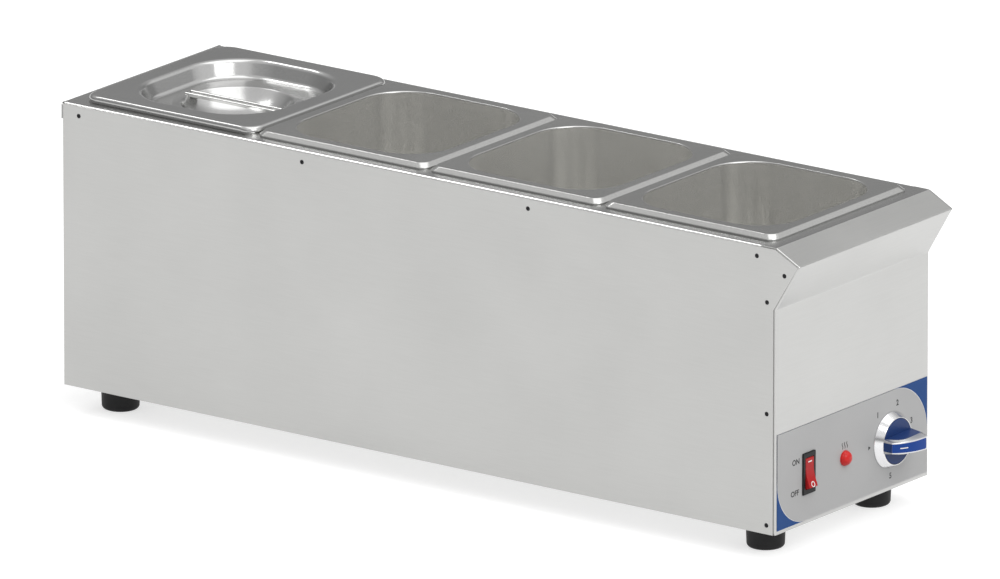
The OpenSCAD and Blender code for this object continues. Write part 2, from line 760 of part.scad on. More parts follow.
// Arch over the grip in its side view, from the pointer end at -X to the highest line, made larger by grow
function arch(low, high, grow = 0) = [for (i = [0:grip_steps]) let (a = i * 90 / grip_steps)
    [grip_peak - (grip_peak + grip_l / 2 + grow) * cos(a), low + (high - low + grow) * sin(a)]];

module grip_side(points) rotate([90, 0, 0]) linear_extrude(grip_w + 2, center = true) polygon(points);

// Grip and core as one, standing on the disc
module grip_body() {
    l = grip_l / 2;
    low = grip_low_w / 2;
    high = grip_w / 2;
    intersection() {
        linear_extrude(grip_h + 2) polygon([[-l, -low + 1], [-l + 1, -low], [grip_peak, -high],
            [l, -high + grip_round], [l, high - grip_round], [grip_peak, high], [-l + 1, low], [-l, low - 1]]);
        grip_side(concat([[-l, 0]], arch(grip_low_h, grip_h), [[grip_peak + grip_round / 2, grip_h - 0.5],
            [grip_peak + grip_round, grip_h - grip_round], [l, 0]]));
    }
}

// What of the grip is blue and belongs to the disc: all below the cap, and the middle of the pointer's end
module grip_core() {
    l = grip_l / 2;
    w = grip_low_w - 2 * inlay_border;
    intersection() {
        grip_body();
        union() {
            grip_side(concat(arch(0, grip_h - cap_depth + grip_end, -grip_end),
                [[l + 1, grip_h - cap_depth], [l + 1, 0]]));
            translate([-l - 1, -w / 2, 0]) cube([1 + 2 * grip_end, w, grip_low_h]);
        }
    }
}

// Outline of the inlay seen from the front
module inlay_plan() {
    l = grip_l / 2 + 1;
    low = grip_low_w / 2 - inlay_border;
    high = grip_w / 2 - inlay_border;
    end = grip_peak - inlay_border / 2;
    polygon([[-l, -low], [end - 1, -high], [end, -high + 1], [end, high - 1], [end - 1, high], [-l, low]]);
}

module knob_disc() {
    color(blue) on_panel(knob_x, label_t) difference() {
        union() {
            translate([0, 0, disc_h - disc_t]) cylinder(d = disc_d, h = disc_t, $fn = 96);
            translate([0, 0, hub_low]) cylinder(d = hub_d, h = disc_h - disc_t / 2 - hub_low);
            translate([0, 0, disc_h]) grip_core();
        }
        translate([0, 0, hub_low - eps])
            d_shaft(shaft_d + 2 * fit, shaft_flat, shaft_end + fit - hub_low + eps);
    }
}

module knob_grip() {
    over = 2 * grip_h;
    color(bright) on_panel(knob_x, label_t + disc_h) difference() {
        grip_body();
        grip_core();
        intersection() {
            linear_extrude(over) inlay_plan();
            grip_side(concat(arch(grip_low_h - eps, grip_h, inlay_lift - inlay_t),
                [[grip_peak, over], [-grip_l, over], [-grip_l, grip_low_h - eps]]));
        }
    }
}

module knob_inlay() {
    top = arch(grip_low_h, grip_h, inlay_lift);
    color(blue) on_panel(knob_x, label_t + disc_h) intersection() {
        linear_extrude(2 * grip_h) inlay_plan();
        grip_side(concat(arch(grip_low_h, grip_h, inlay_lift - inlay_t),
            [for (i = [grip_steps:-1:0]) top[i]]));
    }
}

module switch_housing() {
    color(dark) on_panel(-switch_x, label_t) difference() {
        union() {
            translate([-switch_w / 2, -switch_h / 2, 0]) cube([switch_w, switch_h, switch_rim]);
            translate([-switch_body_w / 2, -switch_body_h / 2, -switch_l])
                cube([switch_body_w, switch_body_h, switch_l + eps]);
            for (s = [-1, 0, 1]) tab(0, s * switch_body_h / 3, switch_l - eps);
        }
        translate([-cavity_w / 2, -cavity_h / 2, switch_rim - cavity_l])
            cube([cavity_w, cavity_h, cavity_l + 1]);
        translate([0, 0, switch_rim - pivot_depth]) rotate([0, 90, 0])
            cylinder(d = pivot_d + 2 * pivot_gap, h = cavity_w + 2 * pivot_seat + 0.4, center = true);
    }
}

module switch_rocker() {
    face_mid = pivot_depth + rocker_proud;
    reach = rocker_r + 1;
    face_end = face_mid + reach * tan(rocker_tilt);
    color(red) on_panel(-switch_x, label_t + switch_rim - pivot_depth) rotate([-rocker_tilt, 0, 0])
        rotate([0, 90, 0]) {
            intersection() {
                cylinder(r = rocker_r, h = rocker_w, center = true, $fn = 64);
                linear_extrude(rocker_w, center = true) polygon([[-face_mid, 0], [-face_end, reach],
                    [rocker_back, reach], [rocker_back, -reach], [-face_end, -reach]]);
            }
            cylinder(d = pivot_d, h = cavity_w + 2 * pivot_seat, center = true);
        }
}

module lamp_lens() {
    rim_h = 1.4;
    dome_h = lens_h - rim_h;
    r = lens_d / 2;
    color(red) on_panel(-lamp_x, label_t) rotate_extrude($fn = 64)
        polygon(concat([[0, 0], [r, 0], [r, rim_h]],
        [for (a = [10:10:90]) [(r - 0.4) * cos(a), rim_h + dome_h * sin(a)]]));
}

module lamp_body() {
    color(dark) on_panel(-lamp_x, label_t) union() {
        translate([0, 0, -lamp_l]) cylinder(d = lamp_d, h = lamp_l);
        for (s = [-1, 1]) tab(s * lamp_d / 4, 0, lamp_l - eps);
    }
}

module lamp_clip() {
    color(bright) on_panel(-lamp_x, -sheet_t) translate([0, 0, -clip_t]) difference() {
        cylinder(d = clip_d, h = clip_t);
        translate([0, 0, -eps]) cylinder(d = lamp_d + 2 * fit, h = clip_t + 1);
    }
}

module control_label() {
    color([0.7, 0.7, 0.7]) placed() difference() {
        span([-body_w / 2 + label_side, -label_t, label_low],
            [body_w / 2 - label_side, 0, label_low + label_h]);
        control_cuts(disc_d);
    }
}

block_w = 40;
block_l = 20;
block_h = 16;
block_behind = 90;
block_y = rear_y - block_behind;
pole_step = 12;

module terminal_block() {
    color([0.92, 0.9, 0.84]) placed() translate([-gland_x, block_y, sheet_t]) difference() {
        translate([-block_w / 2, -block_l / 2, 0]) cube([block_w, block_l, block_h]);
        for (i = [-1, 0, 1]) translate([i * pole_step, 0, block_h / 2]) {
            translate([0, -block_l, 0]) rotate([-90, 0, 0])
                cylinder(d = wire_d + 0.6, h = 2 * block_l, $fn = 24);
            cylinder(d = small_screw_d + 4 * fit, h = block_h, $fn = 24);
        }
    }
}

module terminal_screws() {
    color(brass) placed() for (i = [-1, 0, 1])
        translate([-gland_x + i * pole_step, block_y, sheet_t + block_h / 2 + wire_d / 2 + 0.1])
        difference() {
            cylinder(d = small_screw_d, h = block_h / 2 - wire_d / 2 - 1, $fn = 24);
            translate([-small_screw_d, -0.4, block_h / 2 - wire_d / 2 - 2]) cube([2 * small_screw_d, 0.8, 2]);
        }
}

earth_x = 30;
earth_l = 14;

module earth_stud() {
    color(brass) placed() translate([earth_x, block_y, sheet_t]) {
        cylinder(d = stud_d, h = earth_l);
        hex(stud_d * 1.6, stud_nut_h);
    }
}

// Wires lie beside the left tray flange, one over the other, and rise to their connectors
module wiring() {
    lane_x = -fold_x + sheet_t + 6;
    lane_end = 60;
    lift = wire_d / 2 + sheet_t + 1;
    front = switch_l + tab_l + 4;
    block_z = sheet_t + block_h / 2;
    block_face = block_y - block_l / 2;
    tab_y = switch_l - label_t + tab_l;
    lamp_y = lamp_l - label_t + tab_l;
    therm_y = sheet_t + thermostat_l + tab_l;
    low_tab_z = control_z - switch_body_h / 3;
    therm_x = knob_x + thermostat_w / 4;
    therm_z = thermostat_w / 5;
    pin_y = element_front - element_pin_l / 2;
    pin_z = element_z - element_pin_d / 2 - seat_gap;
    pin_x = element_span / 2;
    function run(i, target) = let (pole = -gland_x + (i - 1) * pole_step, z = lift + i * (wire_d + 1)) concat(
        [[pole, block_face + 5, block_z], [pole, block_face - 8, block_z],
        [pole - 6, block_face - 20 - 8 * i, z], [lane_x, block_face - lane_end, z],
        [lane_x, front + lane_end, z]], target);
    color([0.75, 0.3, 0.25]) placed() {
        tube(run(0, [[-switch_x - 8, front + 22, 10], [-switch_x, tab_y + 10, low_tab_z],
            [-switch_x, tab_y, low_tab_z]]), wire_d);
        tube(run(1, [[-switch_x + 12, front + 34, 30], [-lamp_x - lamp_d / 4, lamp_y + 12, control_z],
            [-lamp_x - lamp_d / 4, lamp_y, control_z]]), wire_d);
        tube(run(2, [[-switch_x - 12, front + 46, 30], [-pin_x, pin_y + 2, pin_z - 16],
            [-pin_x, pin_y, pin_z - 6], [-pin_x, pin_y, pin_z]]), wire_d);
        tube([[-switch_x, tab_y, control_z], [-switch_x, tab_y + 8, control_z],
            [-switch_x + 18, tab_y + 14, 24], [0, tab_y + 20, 12], [knob_x - 8, therm_y + 14, 14],
            [therm_x, therm_y + 6, control_z - therm_z],
            [therm_x, therm_y, control_z - therm_z]], wire_d);
        tube([[therm_x, therm_y, control_z + therm_z], [therm_x, therm_y + 7, control_z + therm_z],
            [pin_x + 6, pin_y + 3, pin_z - 10], [pin_x, pin_y, pin_z - 5], [pin_x, pin_y, pin_z]], wire_d);
    }
}

module at_gland() placed() translate([-gland_x, rear_y, gland_z]) rotate([-90, 0, 0]) children();

module gland_body() {
    color(dark) at_gland() difference() {
        union() {
            hex(gland_af, gland_flange);
            translate([0, 0, -sheet_t - nut_t - 2]) cylinder(d = gland_d, h = sheet_t + nut_t + 2 + eps);
            cylinder(d = gland_neck_d, h = gland_flange + gland_neck);
        }
        translate([0, 0, -sheet_t - nut_t - 3])
            cylinder(d = cable_d + 2, h = sheet_t + nut_t + gland_flange + gland_neck + 4);
    }
}

module gland_lock_nut() {
    color(dark) at_gland() translate([0, 0, -sheet_t - nut_t]) difference() {
        hex(gland_af + 2, nut_t);
        translate([0, 0, -eps]) cylinder(d = gland_d + 2 * thread_gap, h = nut_t + 1);
    }
}

module gland_cap_nut() {
    color(dark) at_gland() translate([0, 0, gland_flange + 0.3]) difference() {
        union() {
            hex(gland_af, cap_l - 5);
            cylinder(d = gland_af - 1, h = cap_l - 2);
            translate([0, 0, cap_l - 2 - eps]) cylinder(d1 = gland_af - 1, d2 = gland_af - 5, h = 2 + eps);
        }
        translate([0, 0, -eps]) cylinder(d = gland_neck_d + 2 * thread_gap, h = cap_l - cap_wall + eps);
        cylinder(d = cable_d + 2, h = cap_l + 1);
    }
}

module gland_seal() {
    color(rubber) at_gland() translate([0, 0, gland_flange + gland_neck + 0.3]) difference() {
        cylinder(d = gland_neck_d, h = seal_l);
        translate([0, 0, -eps]) cylinder(d = cable_d, h = seal_l + 1);
    }
}

// Ring of points round a rounded rectangle, six to a corner, and the same number round a circle
corner_n = 5;
ring_n = 4 * (corner_n + 1);
function box_ring(w, l, r, z) = [for (c = [0:3], j = [0:corner_n]) let (a = 90 * (c + j / corner_n))
    [(c == 0 || c == 3 ? 1 : -1) * (w / 2 - r) + r * cos(a), (c < 2 ? 1 : -1) * (l / 2 - r) + r * sin(a), z]];
function round_ring(r, z) = [for (i = [0:ring_n - 1]) let (a = 360 * (i + 0.5) / ring_n)
    [r * cos(a), r * sin(a), z]];

// Ring of a pan or the lid, drawn inwards from the edge of the pan's flange
function pan_ring(inset, r, z) = box_ring(pan_w - 2 * inset, pan_l - 2 * inset, r, z);

module pan(k) {
    floor_z = pan_rim_h - pan_depth;
    top = pan_rim_h;
    foot_in = pan_flange + pan_taper;
    foot_r = pan_mouth_r - pan_taper;
    lip_in = pan_flange - pan_lip_r;
    skin_r = pan_rim_r - pan_t;
    low_r = pan_floor_r + pan_t;
    lip_low = pan_lip_r - pan_t;
    under = concat(
        [for (a = [0:30:90]) pan_ring(foot_in - pan_t + low_r * (1 - sin(a)),
            foot_r + pan_t - low_r * (1 - sin(a)), floor_z + low_r * (1 - cos(a)))],
        [for (a = [0:30:90]) pan_ring(lip_in + lip_low * cos(a), pan_mouth_r + pan_lip_r - lip_low * cos(a),
            top - pan_lip_r + lip_low * sin(a))],
        [for (a = [90:-30:0])
            pan_ring(pan_rim_r - skin_r * cos(a), pan_corner_r - pan_rim_r + skin_r * cos(a),
            top - pan_rim_r + skin_r * sin(a))],
        [pan_ring(pan_t, pan_corner_r - pan_t, 0)]);
    over = concat([pan_ring(0, pan_corner_r, 0)],
        [for (a = [0:22.5:90]) pan_ring(pan_rim_r * (1 - cos(a)), pan_corner_r - pan_rim_r * (1 - cos(a)),
            top - pan_rim_r * (1 - sin(a)))],
        [for (a = [90:-22.5:0]) pan_ring(lip_in + pan_lip_r * cos(a), pan_mouth_r + pan_lip_r * (1 - cos(a)),
            top - pan_lip_r * (1 - sin(a)))],
        [for (a = [90:-30:0]) pan_ring(foot_in + pan_floor_r * (1 - sin(a)),
            foot_r - pan_floor_r * (1 - sin(a)), floor_z + pan_t + pan_floor_r * (1 - cos(a)))]);
    color(steel) placed() translate([0, pan_y(k), body_h]) loft(concat(under, over));
}

module pan_1() pan(1);

module pan_2() pan(2);

module pan_3() pan(3);

module pan_4() pan(4);

lid_gap = 0.3;
lid_top = pan_rim_h + lid_t;
lid_edge_low = 0.8;
lid_floor = lid_top - lid_recess_h;
ring_z = lid_floor + lid_ring_h;
dish_rim = ring_z - dish_step;

// Ring on the dish: deeper towards the middle
function dish_rise(r) = dish_h * pow((r - dish_flat_r) / (dish_r - dish_flat_r), 2);
function dish_ring(r, t) = round_ring(r, dish_rim - dish_h + dish_rise(r) - t);

module lid() {
    edge_r = pan_rim_r + lid_gap;
    skin_r = pan_rim_r + lid_t;
    arc_z = pan_rim_h - pan_rim_r;
    wall_in = lid_border + lid_wall_lean;
    bend = lid_bend_r;
    steps = [0, 0.35, 0.65, 0.85, 1];
    slope = dish_step;
    under = concat(
        [for (s = steps) dish_ring(dish_flat_r + s * (dish_r + lid_t / 2 - dish_flat_r), lid_t)],
        [round_ring(dish_r + slope + lid_t / 2, ring_z - lid_t), round_ring(lid_ring_r, ring_z - lid_t),
        round_ring(lid_ring_r + 1, lid_floor - lid_t)],
        [pan_ring(wall_in + bend, lid_recess_r - lid_wall_lean - bend + 1, lid_floor - lid_t),
        pan_ring(wall_in - lid_t, lid_recess_r - lid_wall_lean + lid_t, lid_floor + bend / 2),
        pan_ring(lid_border - lid_t, lid_recess_r + lid_t, lid_top - bend - lid_t / 2),
        pan_ring(lid_border - bend, lid_recess_r + bend, pan_rim_h),
        pan_ring(pan_rim_r + 2, pan_corner_r, pan_rim_h)],
        [for (a = [90:-30:0])
            pan_ring(pan_rim_r - edge_r * cos(a), pan_corner_r - pan_rim_r + edge_r * cos(a),
            arc_z + edge_r * sin(a))],
        [pan_ring(-lid_gap, pan_corner_r + lid_gap, lid_edge_low)]);
    over = concat(
        [pan_ring(pan_rim_r - skin_r, pan_corner_r - pan_rim_r + skin_r, lid_edge_low)],
        [for (a = [0:22.5:90])
            pan_ring(pan_rim_r - skin_r * cos(a), pan_corner_r - pan_rim_r + skin_r * cos(a),
            arc_z + skin_r * sin(a))],
        [for (a = [90:-30:0]) pan_ring(lid_border - bend + bend * cos(a), lid_recess_r + bend - bend * cos(a),
            lid_top - bend + bend * sin(a))],
        [for (a = [0:30:90]) pan_ring(wall_in + bend * (1 - cos(a)),
            lid_recess_r - lid_wall_lean - bend * (1 - cos(a)) + 1, lid_floor + bend * (1 - sin(a)))],
        [round_ring(lid_ring_r + 1, lid_floor), round_ring(lid_ring_r, ring_z),
        round_ring(dish_r + slope, ring_z)],
        [for (k = [len(steps) - 1:-1:0]) dish_ring(dish_flat_r + steps[k] * (dish_r - dish_flat_r), 0)]);
    color(bright) placed() translate([0, pan_y(pan_count), body_h]) loft(concat(under, over));
}

module lid_handle() {
    color(bright) placed() translate([0, pan_y(pan_count), body_h + ring_z]) difference() {
        span([-lid_bar_w / 2, -lid_bar_l / 2, 0], [lid_bar_w / 2, lid_bar_l / 2, lid_bar_h]);
        span([-lid_bar_w / 2 + lid_bar_t, -lid_bar_l, -1],
            [lid_bar_w / 2 - lid_bar_t, lid_bar_l, lid_bar_h - lid_bar_t]);
    }
}

top_deck();
front_panel();
side_panel_left();
side_panel_right();
rear_panel();
base_tray();
foot_front_left();
foot_front_right();
foot_rear_left();
foot_rear_right();
foot_screws();
foot_nuts();
side_screws();
water_tank();
insulation_boards();
heating_element();
clamp_bars();
clamp_studs();
clamp_nuts();
capillary_sensor();
sensor_clips();
thermostat();
thermostat_screws();
thermostat_shaft();
knob_ring();
knob_disc();
knob_grip();
knob_inlay();
switch_housing();
switch_rocker();
lamp_lens();
lamp_body();
lamp_clip();
control_label();
terminal_block();
terminal_screws();
earth_stud();
wiring();
gland_body();
gland_lock_nut();
gland_cap_nut();
gland_seal();
pan_1();
pan_2();
pan_3();
pan_4();
lid();
lid_handle();
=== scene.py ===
import math

import bmesh
import bpy
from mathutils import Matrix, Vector


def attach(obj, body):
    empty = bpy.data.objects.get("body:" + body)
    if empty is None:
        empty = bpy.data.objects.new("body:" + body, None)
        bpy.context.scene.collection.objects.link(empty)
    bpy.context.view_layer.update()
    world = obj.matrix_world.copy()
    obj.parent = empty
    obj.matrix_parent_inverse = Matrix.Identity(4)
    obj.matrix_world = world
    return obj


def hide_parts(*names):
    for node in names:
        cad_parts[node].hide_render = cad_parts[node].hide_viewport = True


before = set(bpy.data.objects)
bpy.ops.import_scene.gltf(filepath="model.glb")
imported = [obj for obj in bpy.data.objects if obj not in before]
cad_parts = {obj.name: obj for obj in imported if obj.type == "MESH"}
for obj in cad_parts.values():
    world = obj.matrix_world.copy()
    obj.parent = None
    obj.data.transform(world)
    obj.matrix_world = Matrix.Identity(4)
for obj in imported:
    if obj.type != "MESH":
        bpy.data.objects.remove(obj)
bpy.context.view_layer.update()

print("frame loaded:", len(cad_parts), "nodes")

# Sizes below are in millimetres from the front face plane, the middle and the casing's bottom edge
mm = 0.001
frontPlane = -335.8
footHeight = 21.0
deckHeight = 227.0
controlHeight = 40.0
knobX, lampX, switchX = 49.7, -10.2, -57.7
labelThick = 0.4
panPitch = 164.4
firstPan = 91.8
facingFront = (math.pi / 2, 0, 0)
facingSide = (0, math.pi / 2, 0)


def at(x, y, z):
    return Vector((x * mm, (frontPlane + y) * mm, (footHeight + z) * mm))


def spot(co):
    return co.x / mm, co.y / mm - frontPlane, co.z / mm - footHeight


def near(a, b, gap=0.05):
    return abs(a - b) < gap


def proud(height):
    # how far forward something lies that stands out from the label by this much
    return -labelThick - height


def ends(edge):
    return [spot(vert.co) for vert in edge.verts]


def reaches(edge, u, v, second=1):
    # how far the edge's two ends are from an axis through (u, v), in x and y, or x and z where second is 2
    return [math.hypot(end[0] - u, end[second] - v) for end in ends(edge)]


def zone(width, length, middle):
    # tells whether a place lies in a rectangle round the point (0, middle), seen from above
    return lambda x, y, z=0: abs(x) < width / 2 and abs(y - middle) < length / 2


# Selecting and shaping by hand

def clearAll():
    if bpy.context.object and bpy.context.object.mode != "OBJECT":
        bpy.ops.object.mode_set(mode="OBJECT")
    bpy.ops.object.select_all(action="DESELECT")


def hold(piece):
    clearAll()
    piece.select_set(True)
    bpy.context.view_layer.objects.active = piece


def openEdit(piece):
    hold(piece)
    bpy.ops.object.mode_set(mode="EDIT")
    bpy.ops.mesh.select_mode(type="VERT")
    bpy.ops.mesh.select_all(action="DESELECT")


def closeEdit():
    bpy.ops.object.mode_set(mode="OBJECT")


def pick(piece, kind, test):
    # test gets the place of a vertex, or of the middle of an edge or face, and the element itself
    bpy.ops.mesh.select_mode(type=kind)
    bpy.ops.mesh.select_all(action="DESELECT")
    shape = bmesh.from_edit_mesh(piece.data)
    shape.normal_update()
    elements, middle = {
        "VERT": (shape.verts, lambda vert: vert.co),
        "EDGE": (shape.edges, lambda edge: (edge.verts[0].co + edge.verts[1].co) / 2),
        "FACE": (shape.faces, lambda face: face.calc_center_median()),
    }[kind]
    found = [element for element in elements if test(*spot(middle(element)), element)]
    for element in found:
        element.select_set(True)
    shape.select_flush_mode()
    bmesh.update_edit_mesh(piece.data)
    if not found:
        print("nothing picked on", piece.name)


def pickAll():
    bpy.ops.mesh.select_all(action="SELECT")


def pull(x=0.0, y=0.0, z=0.0):
    bpy.ops.mesh.extrude_region_move(TRANSFORM_OT_translate={"value": (x * mm, y * mm, z * mm)})


def shift(x=0.0, y=0.0, z=0.0):
    bpy.ops.transform.translate(value=(x * mm, y * mm, z * mm))


def stretch(x, y, z, centre):
    bpy.ops.transform.resize(value=(x, y, z), center_override=centre)


def widen(by, centre):
    # grows or shrinks what faces the front, and keeps its depth
    stretch(by, 1, by, centre)


def roundOff(radius, steps, kind="EDGES"):
    bpy.ops.mesh.bevel(offset=radius * mm, offset_type="OFFSET", segments=steps, affect=kind,
                       profile=0.5, clamp_overlap=False, loop_slide=True)


def roundEdges(piece, radius, steps, test):
    pick(piece, "EDGE", test)
    roundOff(radius, steps)


def addCut(place, across):
    # new edges where a plane crosses the mesh
    pickAll()
    bpy.ops.mesh.bisect(plane_co=place, plane_no=across)


def shave(place, across):
    # takes off what lies beyond a plane, from what is selected
    bpy.ops.mesh.bisect(plane_co=place, plane_no=across, clear_outer=True)


def weld():
    pickAll()
    bpy.ops.mesh.remove_doubles(threshold=0.01 * mm)


def turnOut():
    pickAll()
    bpy.ops.mesh.normals_make_consistent(inside=False)


def faceUp(piece, test):
    # turns the whole sheet over where the faces that should look up look down
    turnOut()
    shape = bmesh.from_edit_mesh(piece.data)
    if any(f.normal.z < -0.5 for f in shape.faces if test(*spot(f.calc_center_median()), f)):
        bpy.ops.mesh.flip_normals()


def settle(piece):
    hold(piece)
    bpy.ops.object.transform_apply(location=True, rotation=True, scale=True)
    return piece


def started(name, size=(1, 1, 1)):
    # gives the primitive just added its name, and its size and place in its mesh
    piece = bpy.context.object
    piece.name = name
    piece.scale = size
    return settle(piece)


def startPlane(name, centre, width, depth, turn=(0, 0, 0)):
    clearAll()
    bpy.ops.mesh.primitive_plane_add(size=1, location=centre, rotation=turn)
    return started(name, (width * mm, depth * mm, 1))


def startBox(name, low, high):
    clearAll()
    bpy.ops.mesh.primitive_cube_add(size=1, location=(low + high) / 2)
    return started(name, high - low)


def startCylinder(name, centre, radius, height, sides, turn=(0, 0, 0)):
    clearAll()
    bpy.ops.mesh.primitive_cylinder_add(vertices=sides, radius=radius * mm, depth=height * mm,
                                        location=centre, rotation=turn)
    return started(name)


def startCircle(name, centre, radius, sides, turn=(0, 0, 0), fill="NOTHING"):
    clearAll()
    bpy.ops.mesh.primitive_circle_add(vertices=sides, radius=radius * mm, location=centre,
                                      rotation=turn, fill_type=fill)
    return started(name)


def outline(name, centre, width, length, radius=0.0, steps=0):
    # the closed edge of a plate, with round corners where a radius is given
    loop = startPlane(name, centre, width, length)
    openEdit(loop)
    pickAll()
    if radius:
        roundOff(radius, steps, "VERTICES")
        pickAll()
    bpy.ops.mesh.delete(type="ONLY_FACE")
    closeEdit()
    return loop


def merged(name, parts):
    clearAll()
    for part in parts:
        part.select_set(True)
    bpy.context.view_layer.objects.active = parts[0]
    bpy.ops.object.join()
    parts[0].name = name
    return parts[0]


def bridged(name, outer, inner):
    # joins two outlines with faces, and leaves the piece in edit mode
    piece = merged(name, [outer, inner])
    openEdit(piece)
    bpy.ops.mesh.select_mode(type="EDGE")
    pickAll()
    bpy.ops.mesh.bridge_edge_loops()
    return piece


def copied(piece, name, x=0.0, y=0.0, z=0.0):
    hold(piece)
    bpy.ops.object.duplicate(linked=False)
    double = bpy.context.object
    double.name = name
    double.location = (x * mm, y * mm, z * mm)
    return settle(double)


def applied(piece, kind, **values):
    hold(piece)
    extra = piece.modifiers.new(kind.title(), kind)
    for key, value in values.items():
        setattr(extra, key, value)
    bpy.ops.object.modifier_apply(modifier=extra.name)


def thicken(piece, thickness, side=-1.0):
    applied(piece, "SOLIDIFY", thickness=thickness * mm, offset=side, use_even_offset=True)


def cutAway(piece, *tools):
    for tool in tools:
        applied(piece, "BOOLEAN", object=tool, operation="DIFFERENCE", solver="EXACT")
        bpy.data.objects.remove(tool)


def smooth(piece, angle):
    hold(piece)
    bpy.ops.object.shade_smooth_by_angle(angle=math.radians(angle))
    applied(piece, "WEIGHTED_NORMAL", keep_sharp=True)


def twoFinishes(piece, first, second, test):
    # the second finish goes on the faces that pass the test
    piece.data.materials.append(first)
    piece.data.materials.append(second)
    openEdit(piece)
    pick(piece, "FACE", test)
    piece.active_material_index = 1
    bpy.ops.object.material_slot_assign()
    closeEdit()


def dress(piece, body, finish, slotName, *nodes):
    if not piece.data.materials:
        piece.data.materials.append(finish)
    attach(piece, body)
    if nodes:
        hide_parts(*nodes)
    return piece


def finished(piece, angle, *dressing):
    closeEdit()
    smooth(piece, angle)
    dress(piece, *dressing)


# Finishes: a fine grain and a slow cloud, which vary colour, gloss and bump

unbrushed = (1, 1, 1)
brushedLengthways = (1, 0.04, 1)
brushedSideways = (0.04, 1, 1)
brushedLightly = (1, 0.1, 1)


def tint(red, green, blue):
    # colour as a picture editor gives it, 0 to 255, turned into light values
    def one(c):
        c /= 255
        return c / 12.92 if c <= 0.04045 else ((c + 0.055) / 1.055) ** 2.4
    return one(red), one(green), one(blue), 1.0


def blankFinish(name):
    finish = bpy.data.materials.new(name)
    finish.use_nodes = True
    tree = finish.node_tree
    tree.nodes.clear()
    out = tree.nodes.new("ShaderNodeOutputMaterial")
    shader = tree.nodes.new("ShaderNodeBsdfPrincipled")
    tree.links.new(shader.outputs["BSDF"], out.inputs["Surface"])
    return finish, tree, shader


def grainNode(tree, place, scale, detail, brush=unbrushed):
    mapping = tree.nodes.new("ShaderNodeMapping")
    mapping.inputs["Scale"].default_value = brush
    tree.links.new(place, mapping.inputs["Vector"])
    noise = tree.nodes.new("ShaderNodeTexNoise")
    noise.inputs["Scale"].default_value = scale
    noise.inputs["Detail"].default_value = detail
    tree.links.new(mapping.outputs["Vector"], noise.inputs["Vector"])
    return noise.outputs["Fac"]


def spread(tree, source, low, high, fromLow=0.3, fromHigh=0.7):
    ramp = tree.nodes.new("ShaderNodeMapRange")
    ramp.inputs["From Min"].default_value = fromLow
    ramp.inputs["From Max"].default_value = fromHigh
    ramp.inputs["To Min"].default_value = low
    ramp.inputs["To Max"].default_value = high
    tree.links.new(source, ramp.inputs["Value"])
    return ramp.outputs["Result"]


def mixColours(tree, factor, first, second):
    mix = tree.nodes.new("ShaderNodeMix")
    mix.data_type = "RGBA"
    mix.inputs[6].default_value = first
    mix.inputs[7].default_value = second
    tree.links.new(factor, mix.inputs[0])
    return mix.outputs[2]


def mathNode(tree, kind, *values):
    # each value is a number or another node's output
    node = tree.nodes.new("ShaderNodeMath")
    node.operation = kind
    for socket, value in zip(node.inputs, values):
        if isinstance(value, float):
            socket.default_value = value
        else:
            tree.links.new(value, socket)
    return node.outputs[0]


def grainyFinish(name, colour, shade, gloss, grain, patch, bump, depth, toneFromGrain):
    # shade is how dark the darker parts are, gloss the range of roughness, patch the scale of the cloud
    finish, tree, shader = blankFinish(name)
    place = tree.nodes.new("ShaderNodeTexCoord").outputs["Object"]
    fine = grainNode(tree, place, *grain)
    cloud = grainNode(tree, place, patch, 3.0)
    tone = spread(tree, fine, 1, 0) if toneFromGrain else spread(tree, cloud, 0, 1)
    dark = tuple(c * shade for c in colour[:3]) + (1.0,)
    tree.links.new(mixColours(tree, tone, colour, dark), shader.inputs["Base Color"])
    tree.links.new(spread(tree, cloud, *gloss), shader.inputs["Roughness"])
    relief = tree.nodes.new("ShaderNodeBump")
    relief.inputs["Strength"].default_value = bump
    relief.inputs["Distance"].default_value = depth
    tree.links.new(fine, relief.inputs["Height"])
    tree.links.new(relief.outputs["Normal"], shader.inputs["Normal"])
    return finish, shader


def metalFinish(name, colour, shade=0.94, roughness=0.3, roughSpread=0.05, grainScale=900.0,
                brush=unbrushed, bump=0.06, metallic=1.0):
    gloss = (roughness - roughSpread, roughness + roughSpread)
    finish, shader = grainyFinish(name, (*colour, 1), shade, gloss, grain=(grainScale, 3.0, brush),
                                  patch=9.0, bump=bump, depth=0.0003, toneFromGrain=True)
    shader.inputs["Metallic"].default_value = metallic
    return finish


def plasticFinish(name, colour, shade=0.85, roughness=0.35, bump=0.05, patch=25.0, specular=0.5):
    gloss = (roughness - 0.04, roughness + 0.06)
    finish, shader = grainyFinish(name, tint(*colour), shade, gloss, grain=(1500.0, 2.0),
                                  patch=patch, bump=bump, depth=0.0002, toneFromGrain=False)
    shader.inputs["Specular IOR Level"].default_value = specular
    return finish


casingSteel = metalFinish("casingSteel", (0.5, 0.5, 0.49), shade=0.97, roughness=0.34, brush=brushedLengthways)
faceSteel = metalFinish("faceSteel", (0.54, 0.54, 0.53), shade=0.97, roughness=0.34, brush=brushedSideways)
deckSteel = metalFinish("deckSteel", (0.51, 0.51, 0.505), roughness=0.22, brush=brushedLengthways)
# a near-white copy of the deck steel: a painted highlight for the deck's left fold
foldPaintedHighlight = metalFinish("foldPaintedHighlight", (0.98, 0.98, 0.97), shade=0.98, roughness=0.16, brush=brushedLengthways)
panSteel = metalFinish("panSteel", (0.52, 0.52, 0.51), shade=0.9, roughness=0.22, grainScale=700.0)
# pan steel for the inside: the coarser grain is the pan's own, the much lighter colour is painted light
panInsidePaintedLight = metalFinish("panInsidePaintedLight", (0.94, 0.935, 0.91), shade=0.86, roughness=0.2, grainScale=800.0,
                        bump=0.14, metallic=0.88)
lidSteel = metalFinish("lidSteel", (0.52, 0.52, 0.515), shade=0.92, roughness=0.2, grainScale=800.0, bump=0.08)
handleSteel = metalFinish("handleSteel", (0.7, 0.7, 0.69), roughness=0.22, brush=brushedLengthways)
